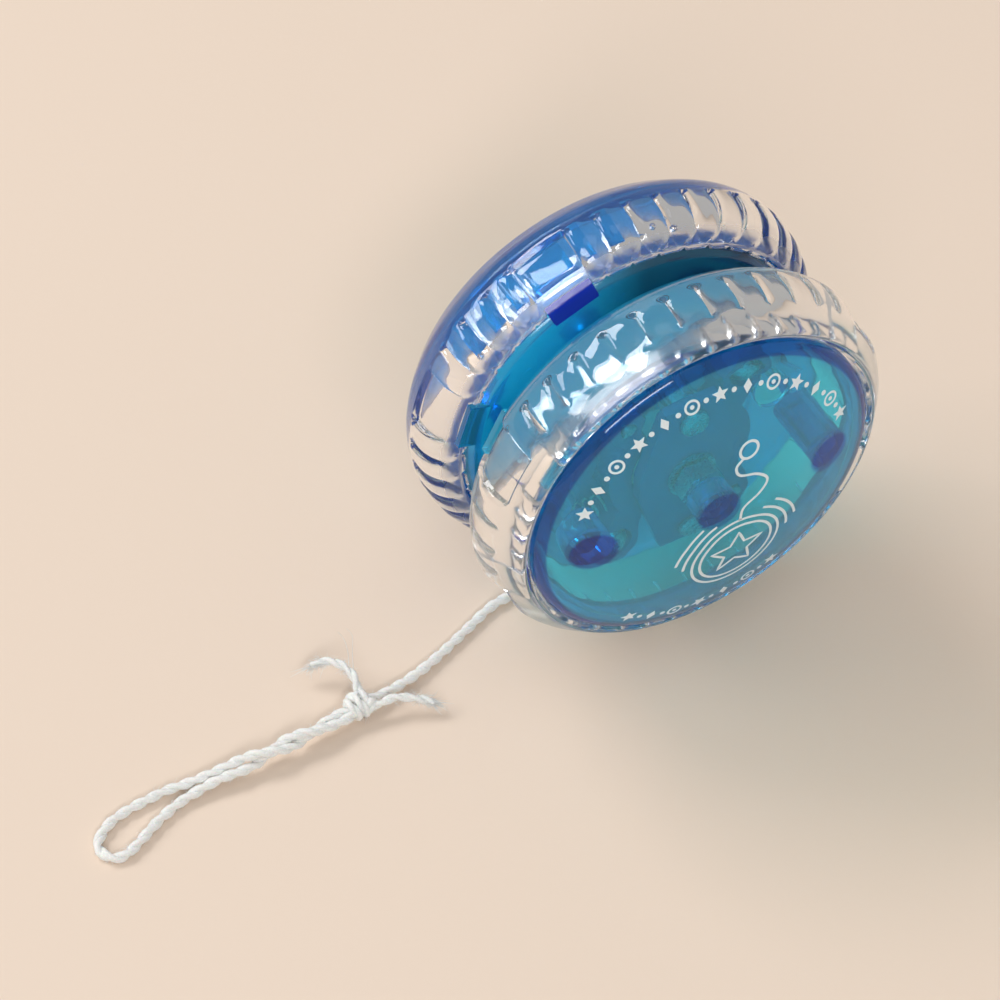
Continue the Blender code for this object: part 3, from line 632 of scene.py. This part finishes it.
def build_tail(number, route, white):
    """A short end of the string that thins out into a frayed brush."""
    path = smooth_curve(route, 90)
    thin = np.concatenate([np.full(50, 0.86), np.linspace(0.86, 0.70, 40)])
    pieces = plies(path, 0.7 * number, thin)
    rng = np.random.default_rng(20 + number)
    ahead = path[-1] - path[-6]
    ahead /= np.linalg.norm(ahead)
    for _ in range(120):
        start = path[-int(rng.integers(1, 26))] + rng.normal(0.0, 0.00020, 3)
        drift = rng.normal(0.0, 0.35, 3)
        drift[2] = -abs(drift[2]) * 0.5
        reach = rng.uniform(0.0008, 0.0019)
        middle = start + (ahead + drift * 0.5) * reach * 0.5
        end = start + (ahead + drift) * reach
        for point in (start, middle, end):
            point[2] = max(point[2], 2 * FLOOR)
        pieces.append(fibre([start, middle, end], 0.00005))
    pieces += fuzz(path, 160, 0.0009, 30 + number)
    if number == 1:
        # two stray threads that stand above this tail
        for lift in (0.0, 0.0006):
            pieces.append(fibre([(-0.0431 + lift, -0.0024, 0.0034),
                                 (-0.0420 + lift, 0.0000, 0.0040),
                                 (-0.0415 + lift * 2, 0.0021, 0.0042),
                                 (-0.0416 + lift * 2, 0.0036, 0.0040)], 0.00006))
    name = f"string_end_{number}"
    return add_object(name, merged(name, pieces), white, STRING,
                      (f"string_tail_{number}",))


build_string()


# ------------------------ clear rims
WINDOW_HALF = math.radians(8.0)        # half of a smooth window
LONG_HALF = math.radians(64.5)         # from the top or the bottom of a half to a window
FAR_TURN = math.radians(-42.0)         # how far the far half is turned about the axle
RIM_SHARP = math.radians(34.0)
# depths of the grooves between the flutes, and of the windows
VALLEY = {NEAR: 0.42, FAR: 0.62}
WINDOW_DEPTH = 0.80
# where the flutes and the windows start and end, and how gently: low, high, fade in, fade out
FLUTED = {NEAR: (6.3, 11.85, 1.2, 0.9), FAR: (2.55, 8.9, 0.35, 0.3)}
WINDOWED = {NEAR: (2.4, 11.85, 0.9, 0.3), FAR: (2.4, 9.3, 0.9, 0.7)}
CLOUDY = {NEAR: (0.12, 0.16), FAR: (0.28, 0.34)}      # roughness of the smooth band
BORE = 23.9
CREST = [(24.15, 14.45), (24.5, 14.58), (24.95, 14.38), (25.45, 13.85), (25.95, 13.25),
         (26.45, 12.65), (26.85, 12.15), (27.08, 11.8), (27.32, 11.4), (27.7, 10.5),
         (27.93, 9.5), (28.0, 8.6), (27.97, 7.5), (27.78, 6.4), (27.38, 5.4), (26.85, 4.6),
         (26.25, 3.9), (25.6, 3.25), (25.1, 2.82), (24.7, 2.62), (24.35, 2.66), (24.05, 2.95)]
# places across a flute, closer together beside its edges
ACROSS = (0.0, 0.015, 0.04, 0.08, 0.13, 0.19, 0.27, 0.38, 0.5, 0.62, 0.73, 0.81, 0.87, 0.92,
          0.96, 0.985)
# air bubbles in the far rim: angle in degrees, radius, depth and size
FAR_BUBBLES = [(76, 25.6, 4.9, 0.42), (77, 25.9, 6.3, 0.36), (82, 25.7, 5.8, 0.40),
               (124, 25.6, 4.8, 0.36), (130, 25.7, 6.2, 0.40), (142, 25.5, 5.0, 0.42)]


def window_centres(side):
    """The angles of the four windows, which come in pairs about the top and the bottom."""
    turn = FAR_TURN if side == FAR else 0.0
    return [base + turn + sign * LONG_HALF for base in (math.pi * 1.5, math.pi / 2)
            for sign in (-1, 1)]


def beside_axle(angle, radius, y):
    """The place at an angle round the axle; radius and y are in millimetres."""
    return AXLE + Vector((radius * math.cos(angle), y, radius * math.sin(angle))) * MM


def flute_stations(side):
    """Angles round a rim, each with its place across a flute from -1 to 1, or None in a window."""
    stations = []
    window_steps = 22
    starts = sorted(angle % TAU for angle in window_centres(side))
    for this, following in zip(starts, starts[1:] + [starts[0] + TAU]):
        for step in range(window_steps):
            angle = this - WINDOW_HALF + 2 * WINDOW_HALF * step / window_steps
            stations.append((angle, None))
        arc = following - this - 2 * WINDOW_HALF
        flutes = 13 if arc > math.pi / 3 else 4
        for flute in range(flutes):
            for share in ACROSS:
                angle = this + WINDOW_HALF + arc * (flute + share) / flutes
                stations.append((angle, share * 2 - 1))
    return stations


def between(depth, low, high, fade_in, fade_out):
    """1 between two depths, easing to 0 at each of them."""
    return ease((depth - low) / fade_in) * ease((high - depth) / fade_out)


def rim_surface(name, side):
    """The fluted ring with its windows, before the notches for the lugs are cut."""
    crest = smooth_curve([(r, d, 0.0) for r, d in CREST], 84)
    radius, depth = crest[:, 0], crest[:, 1]
    bore = np.array([(BORE, d) for d in (3.15, 5.0, 7.5, 10.0, 12.5, 14.25)])
    fluted = between(depth, *FLUTED[side])
    windowed = between(depth, *WINDOWED[side])
    # each flute narrows to a round end towards the gap
    width = np.sqrt(1.0 - np.clip((4.6 - depth) / 1.75, 0.0, 1.0) ** 2)
    rows = []
    for angle, across in flute_stations(side):
        if across is None:
            sunk = windowed * WINDOW_DEPTH
        else:
            edge = np.minimum(abs(across) / np.maximum(width, 1e-3), 1.0)
            sunk = fluted * VALLEY[side] * edge ** 4
        outline = np.vstack([np.stack([radius - sunk, depth], axis=1), bore])
        rows.append(np.stack([outline[:, 0] * math.cos(angle), outline[:, 1] * side,
                              outline[:, 0] * math.sin(angle)], axis=1))
    points = np.array(rows) * MM + np.array(AXLE)
    return tidy_mesh(grid_mesh(name, points, True, True), 1e-7, RIM_SHARP)


def add_bubbles(mesh, side, bubbles):
    """Small air bubbles inside the clear plastic, as hollows with inward faces."""
    work = bmesh.new()
    work.from_mesh(mesh)
    for angle, radius, depth, size in bubbles:
        place = beside_axle(math.radians(angle), radius, side * depth)
        made = bmesh.ops.create_icosphere(work, subdivisions=3, radius=size * MM,
                                          matrix=Matrix.Translation(place))
        faces = {face for vertex in made["verts"] for face in vertex.link_faces}
        bmesh.ops.reverse_faces(work, faces=list(faces))
        for face in faces:
            face.smooth = True
    work.to_mesh(mesh)
    work.free()


def build_rim(name, side, bubbles=()):
    """A clear rim: fluted, with four notched windows and one slightly cloudy smooth band."""
    notch = (3.8 * MM, 2.4 * MM, 6.9 * MM)
    notches = [("DIFFERENCE", box_tool(notch, beside_axle(angle, 25.2, side * 2.15), -angle))
               for angle in window_centres(side)]
    mesh = carve(rim_surface(name, side), notches, RIM_SHARP)
    add_object(name, mesh, clear_plastic(name), body=BODY, replaces=(name,))
    add_bubbles(mesh, side, bubbles)
    mesh.materials.append(clear_plastic(f"{name}_band", CLOUDY[side]))
    for face in mesh.polygons:
        middle = face.center - AXLE
        depth = abs(middle.y) / MM
        # the band lies beside the cap on the near rim and beside the gap on the far one
        in_band = depth > 11.9 if side == NEAR else depth < 4.1
        if in_band and math.hypot(middle.x, middle.z) > 24.0 * MM:
            face.material_index = 1


# ------------------------ blue caps
SHELL = 1.5                            # thickness of a cap
SKIRT = {NEAR: 23.6, FAR: 23.94}       # the far skirt is a press fit in its rim


def dome(radius):
    """Depth of the domed outer face of a cap."""
    return 15.3 + 4.0 * (1.0 - (radius / 23.3) ** 2)


def cap_outline(side):
    """A dome with a flat middle, and the skirt that goes into the rim."""
    outer = [(0.0, 19.0), (3.0, 19.0), (5.4, 18.995)]
    outer += [(r, min(18.98, dome(r)))
              for r in (6.6, 8.5, 10.5, 12.5, 14.5, 16.5, 18.5, 20.2, 21.6)]
    edge = [(22.4, dome(22.4)), (23.2, 15.05), (SKIRT[side], 14.5), (SKIRT[side], 11.1),
            (22.3, 11.1), (22.3, 13.6), (21.6, dome(21.6) - SHELL)]
    inner = [(r, dome(r) - SHELL) for r in (20.0, 18.0, 15.0, 12.0, 9.0, 6.0)]
    return outer + rounded(edge, 0.45) + inner + [(0.0, dome(6.0) - SHELL)]


def build_cap(name, side):
    """A cap with a long boss, a short boss and a middle boss, each hollow, and a gate mark."""
    steps = []
    for x, radius, foot in ((PEG, 2.6, 7.6), (-PEG, 3.0, 11.9)):
        steps.append(("UNION", cylinder(x, 0.0, radius, foot, dome(PEG) - 0.7, side)))
        steps.append(("DIFFERENCE", cylinder(x, 0.0, 1.35, foot - 0.5, 14.6, side, 32)))
    steps.append(("UNION", cylinder(0.0, 0.0, 2.9, 15.2, 18.1, side)))
    steps.append(("DIFFERENCE", cylinder(0.0, 0.0, 1.8, 14.8, 17.2, side, 32)))
    gate = (8.0, 15.5)
    inside = dome(math.hypot(*gate)) - SHELL
    steps.append(("UNION", cylinder(*gate, 2.5, inside - 0.35, inside + 0.8, side, 64)))
    mesh = carve(lathe(name, cap_outline(side), side, 224), steps)
    plastic = blue_plastic(name, 500.0, (0.12, 0.86, 0.99), clear=0.88, zones=DEEP)
    add_object(name, mesh, plastic, body=BODY, replaces=(name,))


# ------------------------ blue hubs
HUB_WALL = 23.6
LUG_INNER, LUG_OUTER = 21.9, 25.0      # radii between which a lug lies
LUG_DEPTH, LUG_THICK, LUG_WIDTH = 2.63, 1.0, 6.5
FIRST_DEEP = {NEAR: 0, FAR: 1}         # from this window on, every second lug is deep blue
PRESSED = (76.0, 157.0)                # degrees round the axle where the far wall is pressed out
FLUTE_PITCH = 8.7                      # degrees
POST = 9.5                             # from the axle to the posts that hold the bridge
ARM_PIVOT = (-7.8, 9.9)
WALL_PART, WEB_PART, LUG_PART = range(3)              # material slots of a hub


def hub_outline(side):
    """The dish: its side wall, its web by the gap with one raised ring, and its middle."""
    wall = [(HUB_WALL, 10.8), (HUB_WALL, 6.9), (HUB_WALL, 6.3), (HUB_WALL, 3.1)]
    if side == NEAR:
        middle = [(4.6, 2.2), (4.6, 3.8)]
    else:
        middle = [(1.65, 2.2), (1.65, 7.0), (5.0, 7.0), (5.0, 3.8)]
    ridge = [(12.6, 3.8), (12.9, 4.15), (13.6, 4.15), (13.9, 3.8)]
    inside = [(21.4, 3.8), (22.2, 4.6), (22.2, 10.8)]
    outline = wall + [(22.7, 2.2)] + middle + ridge + inside
    return rounded(outline + outline[:1], 0.3)[:-1]


def hub_features(side):
    """What is joined to the turned dish, or cut from it."""
    steps = []
    lug = ((LUG_OUTER - LUG_INNER) * MM, LUG_THICK * MM, LUG_WIDTH * MM)
    for angle in window_centres(side):
        place = beside_axle(angle, (LUG_INNER + LUG_OUTER) / 2, side * LUG_DEPTH)
        steps.append(("UNION", box_tool(lug, place, -angle)))
    for x in (-PEG, PEG):
        steps.append(("UNION", cylinder(x, 0.0, 1.0, 3.3, 9.4, side, 24)))
    # the round marks of the ejector pins
    for angle in (22.0, 93.0, 142.0, 205.0, 268.0, 322.0):
        x, z = 18.0 * math.cos(math.radians(angle)), 18.0 * math.sin(math.radians(angle))
        steps.append(("DIFFERENCE", cylinder(x, z, 2.3, 2.0, 2.32, side)))
    return steps


def clutch_features():
    """Bridge posts with screw holes, holes for the arm pins, and spring seats."""
    steps = []
    for sign in (1, -1):
        pivot_x, pivot_z = sign * ARM_PIVOT[0], sign * ARM_PIVOT[1]
        seat = AXLE + Vector((sign * -16.3, NEAR * 6.1, sign * -5.5)) * MM
        steps += [("UNION", cylinder(0.0, sign * POST, 2.5, 3.3, 9.3, NEAR)),
                  ("DIFFERENCE", cylinder(0.0, sign * POST, 1.3, 5.2, 9.8, NEAR, 24)),
                  ("DIFFERENCE", cylinder(pivot_x, pivot_z, 1.3, 2.9, 4.3, NEAR, 24)),
                  ("UNION", box_tool((1.6 * MM, 5.6 * MM, 4.0 * MM), seat, 0.0))]
    return steps


def press_wall(mesh):
    """Pushes one sector of the far hub's side wall out until it touches the clear rim.

    It touches under the window and under the middle of each flute, and not between them.
    """
    window, half = math.degrees(window_centres(FAR)[3]), math.degrees(WINDOW_HALF)
    for vertex in mesh.vertices:
        place = vertex.co - AXLE
        reach = math.hypot(place.x, place.z)
        angle = math.degrees(math.atan2(place.z, place.x))
        share = ease((angle - PRESSED[0]) / 8.0) * ease((PRESSED[1] - angle) / 6.0)
        if abs(angle - window) > half:
            # where the run of flutes on this side of the window starts
            start = -8.5 if angle < window else window + half
            across = abs((angle - start) / FLUTE_PITCH % 1.0 * 2 - 1)
            share *= 1.0 - ease((across - 0.40) / 0.25)
        in_wall = abs(reach - 23.5 * MM) < 0.2 * MM and abs(place.y) > 6.6 * MM
        if in_wall and share > 0.0:
            grow = 1.0 + share * (23.94 * MM / reach - 1.0)
            vertex.co.x = AXLE.x + place.x * grow
            vertex.co.z = AXLE.z + place.z * grow


def is_deep_lug(place, side):
    """Whether a place, measured from the axle, is on one of the two deep blue lugs.

    Inside the hub's wall, a lug shows only its face by the gap.
    """
    reach, depth = math.hypot(place.x, place.z) / MM, abs(place.y) / MM
    inside_wall = reach < 23.2 and depth > LUG_DEPTH - 0.44
    if inside_wall or reach < LUG_INNER - 0.05 or depth > LUG_DEPTH + 0.53:
        return False
    for angle in window_centres(side)[FIRST_DEEP[side]::2]:
        across = -place.x * math.sin(angle) + place.z * math.cos(angle)
        out = place.x * math.cos(angle) + place.z * math.sin(angle)
        if out > 0.0 and abs(across) < (LUG_WIDTH / 2 + 0.05) * MM:
            return True
    return False


def hub_part(face, side):
    """Which material slot a face of a hub takes."""
    middle = face.center - AXLE
    reach, depth = math.hypot(middle.x, middle.z) / MM, abs(middle.y) / MM
    if reach < 21.3 and abs(face.normal.y) > 0.7:
        return WEB_PART
    if depth < 3.2 and is_deep_lug(middle, side):
        return LUG_PART
    if depth < 4.4 and not (depth < 3.2 and reach > HUB_WALL + 0.02):
        return WEB_PART
    return WALL_PART


def build_hub(name, side):
    """A blue dish. Its web is a little cloudy, so that it glows behind the clear cap."""
    steps = hub_features(side) + (clutch_features() if side == NEAR else [])
    mesh = carve(lathe(name, hub_outline(side), side, 200, closed=True), steps)
    web_tint, web_rough = (0.07, 0.70, 0.97), (0.08, 0.14)
    # each web's colour takes its side's zones of painted shade
    if side == NEAR:
        wall = blue_plastic(name, 130.0)
        web = blue_plastic(f"{name}_web", 1000.0, web_tint, web_rough, 0.35, PAINTED_SHADE[side])
    else:
        press_wall(mesh)
        wall = blue_plastic(name, 1300.0, (0.02, 0.40, 0.82), clear=0.75)
        web = blue_plastic(f"{name}_web", 600.0, web_tint, web_rough, 0.80, PAINTED_SHADE[side])
    add_object(name, mesh, wall, body=BODY, replaces=(name,))
    mesh.materials.append(web)
    mesh.materials.append(blue_plastic(f"{name}_lugs", 2000.0, (0.03, 0.05, 0.62), (0.12, 0.2),
                                       0.5))
    for face in mesh.polygons:
        face.material_index = hub_part(face, side)


build_rim("clear_rim_near", NEAR)
build_rim("clear_rim_far", FAR, FAR_BUBBLES)
build_hub("hub_dish_near", NEAR)
build_hub("hub_dish_far", FAR)
build_cap("cap_near", NEAR)
build_cap("cap_far", FAR)


# ------------------------ print on the caps
LINE = 0.38                    # width of a printed line
INK_ABOVE, INK_BELOW = 0.025, 0.06     # how far the ink stands out of the cap and goes in
MARKS = ("star", "dot", "lozenge", "dot", "ring", "dot")


def cap_point(x, z, side, lift):
    """A place on or above the face of a cap, x across and z up from the axle."""
    depth = min(18.99, dome(math.hypot(x, z))) + lift
    return (AXLE.x + x * MM, side * depth * MM, AXLE.z + z * MM)


def stroke(points, side, closed=False, width=LINE):
    """A printed line along (x, z) points, as a thin closed band that follows the dome."""
    path = [Vector(p) for p in points]
    count = len(path)
    vertices, faces = [], []
    for i, here in enumerate(path):
        before = path[i - 1] if closed or i else here
        after = path[(i + 1) % count] if closed or i < count - 1 else here
        ahead = (after - before).normalized()
        out = Vector((-ahead.y, ahead.x)) * width / 2
        for place, lift in ((here + out, -INK_BELOW), (here + out, INK_ABOVE),
                            (here - out, INK_ABOVE), (here - out, -INK_BELOW)):
            vertices.append(cap_point(place.x, place.y, side, lift))
    for i in range(count if closed else count - 1):
        a, b = 4 * i, 4 * ((i + 1) % count)
        faces += [(a + k, b + k, b + (k + 1) % 4, a + (k + 1) % 4) for k in range(4)]
    if not closed:
        last = 4 * (count - 1)
        faces += [(3, 2, 1, 0), (last, last + 1, last + 2, last + 3)]
    return np.array(vertices), faces


def stamp(outline, side):
    """A filled printed shape, seen whole from its own middle."""
    count = len(outline)
    middle = (sum(p[0] for p in outline) / count, sum(p[1] for p in outline) / count)
    vertices = [cap_point(*middle, side, INK_ABOVE), cap_point(*middle, side, -INK_BELOW)]
    for lift in (INK_ABOVE, -INK_BELOW):
        vertices += [cap_point(x, z, side, lift) for x, z in outline]
    faces = []
    top, low = 2, 2 + count
    for i in range(count):
        j = (i + 1) % count
        faces += [(0, top + i, top + j), (1, low + j, low + i),
                  (top + i, low + i, low + j, top + j)]
    return np.array(vertices), faces


def circle(x, z, radius, count):
    return [(x + radius * math.cos(TAU * i / count), z + radius * math.sin(TAU * i / count))
            for i in range(count)]


def star(x, z, radius, turn=math.pi / 2):
    """A star with five points, one of them in the direction turn."""
    reach = (radius, radius * 0.45)
    return [(x + reach[i % 2] * math.cos(turn + math.pi * i / 5),
             z + reach[i % 2] * math.sin(turn + math.pi * i / 5)) for i in range(10)]


def divided(corners, step=0.6):
    """The sides of a shape with extra points, so that they can follow the dome."""
    out = []
    for a, b in zip(corners, corners[1:] + corners[:1]):
        count = max(1, round(math.dist(a, b) / step))
        out += [(a[0] + (b[0] - a[0]) * k / count, a[1] + (b[1] - a[1]) * k / count)
                for k in range(count)]
    return out


def curve(points, count):
    """A smooth line through (x, z) points."""
    return [(x, z) for x, z, _ in smooth_curve([(*p, 0.0) for p in points], count)]


def arc_marks(start, end, radius, count, side):
    """Small marks in turn along an arc: a star, a dot, a lozenge, a dot, a ring round a dot."""
    marks = []
    for i in range(count):
        angle = math.radians(start + (end - start) * i / (count - 1))
        across, up = math.cos(angle), math.sin(angle)
        x, z = radius * across, radius * up
        mark = MARKS[i % len(MARKS)]
        if mark == "star":
            marks.append(stamp(star(x, z, 1.15, angle), side))
        elif mark == "lozenge":
            marks.append(stamp([(x + across, z + up), (x - 0.6 * up, z + 0.6 * across),
                                (x - across, z - up), (x + 0.6 * up, z - 0.6 * across)], side))
        elif mark == "ring":
            marks.append(stroke(circle(x, z, 0.9, 24), side, True, 0.30))
            marks.append(stamp(circle(x, z, 0.30, 12), side))
        else:
            marks.append(stamp(circle(x, z, 0.36, 14), side))
    return marks


def build_print(name, side):
    """A line drawing of a yo-yo on its string, between two arcs of small marks."""
    x, z = 3.0, -9.6
    string = [(3.0, -3.3), (3.4, -1.2), (5.6, 0.6), (6.6, 2.6), (5.0, 4.4), (2.6, 5.4),
              (2.0, 7.0), (3.1, 8.1)]
    pieces = [stroke(circle(x, z, 6.3, 72), side, True), stroke(circle(x, z, 5.2, 64), side, True),
              stroke(divided(star(x, z, 3.9)), side, True),
              stroke(curve(string, 40), side),
              stroke(circle(3.9, 9.1, 1.3, 28), side, True)]
    # two short arcs at each side of the drawing, as if it spins
    for sign in (-1, 1):
        middle = math.pi / 2 - sign
        for reach, half in ((7.6, 0.55), (8.9, 0.38)):
            turns = [middle + half * k / 8 for k in range(-8, 9)]
            pieces.append(stroke([(x + reach * math.cos(turn), z + reach * math.sin(turn))
                                  for turn in turns], side))
    pieces += arc_marks(158.0, 19.0, 19.1, 25, side) + arc_marks(238.0, 299.0, 20.3, 13, side)
    mesh = tidy_mesh(merged(name, pieces), 1e-7, math.radians(30.0))
    add_object(name, mesh, ink(name), BODY)


build_print("cap_print_near", NEAR)
build_print("cap_print_far", FAR)


# ------------------------ clutch and axle
def paint(material, *nodes):
    """Gives CAD pieces, which keep their meshes, a material."""
    for node in nodes:
        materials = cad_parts[node].data.materials
        materials.clear()
        materials.append(material)


paint(metal("steel", (0.60, 0.61, 0.63), 0.28),
      "axle", "axle_washer_near", "axle_washer_far", "axle_nut_near", "axle_nut_far",
      "spindle_washer", "bridge_screw_1", "bridge_screw_2", "arm_pin_1", "arm_pin_2",
      "arm_ball_1", "arm_ball_2", "arm_spring_1", "arm_spring_2")
paint(blue_plastic("arm_plastic", 1500.0, (0.01, 0.09, 0.28), (0.12, 0.22), 0.2),
      "clutch_bridge", "clutch_arm_1", "clutch_arm_2")
paint(solid_plastic("spindle_plastic", (0.55, 0.62, 0.68)), "spindle")


# ------------------------ stage and light
def build_stage():
    """The warm table that the yo-yo lies on."""
    n = Nodes("backdrop")
    cloud = n.noise(4.0, 2.0)
    tone = n.mix(cloud, (0.80, 0.668, 0.558, 1.0), (0.765, 0.638, 0.53, 1.0))
    body = n.principled(Base_Color=tone, Roughness=0.85, Specular_IOR_Level=0.15,
                        Normal=n.bump(n.noise(900.0, 4.0), 0.04, 0.0004))
    mesh = bpy.data.meshes.new("floor")
    half = 1.5
    mesh.from_pydata([(-half, -half, 0), (half, -half, 0), (half, half, 0), (-half, half, 0)],
                     [], [(0, 1, 2, 3)])
    floor = add_object("floor", mesh, n.finish(body))


def softbox(name, place, target, size, power, along=None):
    """A rectangular light that faces a target; its long side may follow a direction."""
    data = bpy.data.lights.new(name, "AREA")
    data.shape = "RECTANGLE"
    data.size, data.size_y = size
    data.energy = power
    lamp = bpy.data.objects.new(name, data)
    lamp.location = place
    away = Vector(place) - Vector(target)
    turn = away.to_track_quat("Z", "Y").to_matrix()
    if along:
        up = away.normalized().cross(Vector(along)).normalized()
        turn = Matrix((up.cross(away).normalized(), up, away.normalized())).transposed()
    lamp.rotation_euler = turn.to_euler()
    scene.collection.objects.link(lamp)


def build_light():
    """Two large lights behind, a strip that glints in the clear plastic, and soft fill."""
    softbox("key", (-0.38, 0.90, 0.95), (0, 0, 0.02), (0.7, 0.32), 7.0)
    softbox("left_back", (-0.95, 0.66, 0.62), (0, 0, 0.02), (0.7, 0.26), 3.8)
    softbox("strip", (-0.33, -0.79, 0.71), (0, 0, 0.03), (0.75, 0.15), 4.5, (-0.9, 0.0, -0.44))
    softbox("top", (0.1, -0.05, 1.2), (0, 0, 0.02), (0.5, 0.5), 0.6)
    world = bpy.data.worlds.new("studio")
    world.use_nodes = True
    sky = world.node_tree.nodes["Background"].inputs
    sky["Color"].default_value = (1.0, 0.96, 0.92, 1.0)
    sky["Strength"].default_value = 0.44
    scene.world = world
    # light has to get through many walls of clear plastic
    scene.cycles.max_bounces = 24
    scene.cycles.glossy_bounces = 24
    scene.cycles.transmission_bounces = 24
    scene.cycles.transparent_max_bounces = 32
    scene.view_settings.view_transform = "Standard"
    scene.view_settings.look = "None"


build_stage()
build_light()
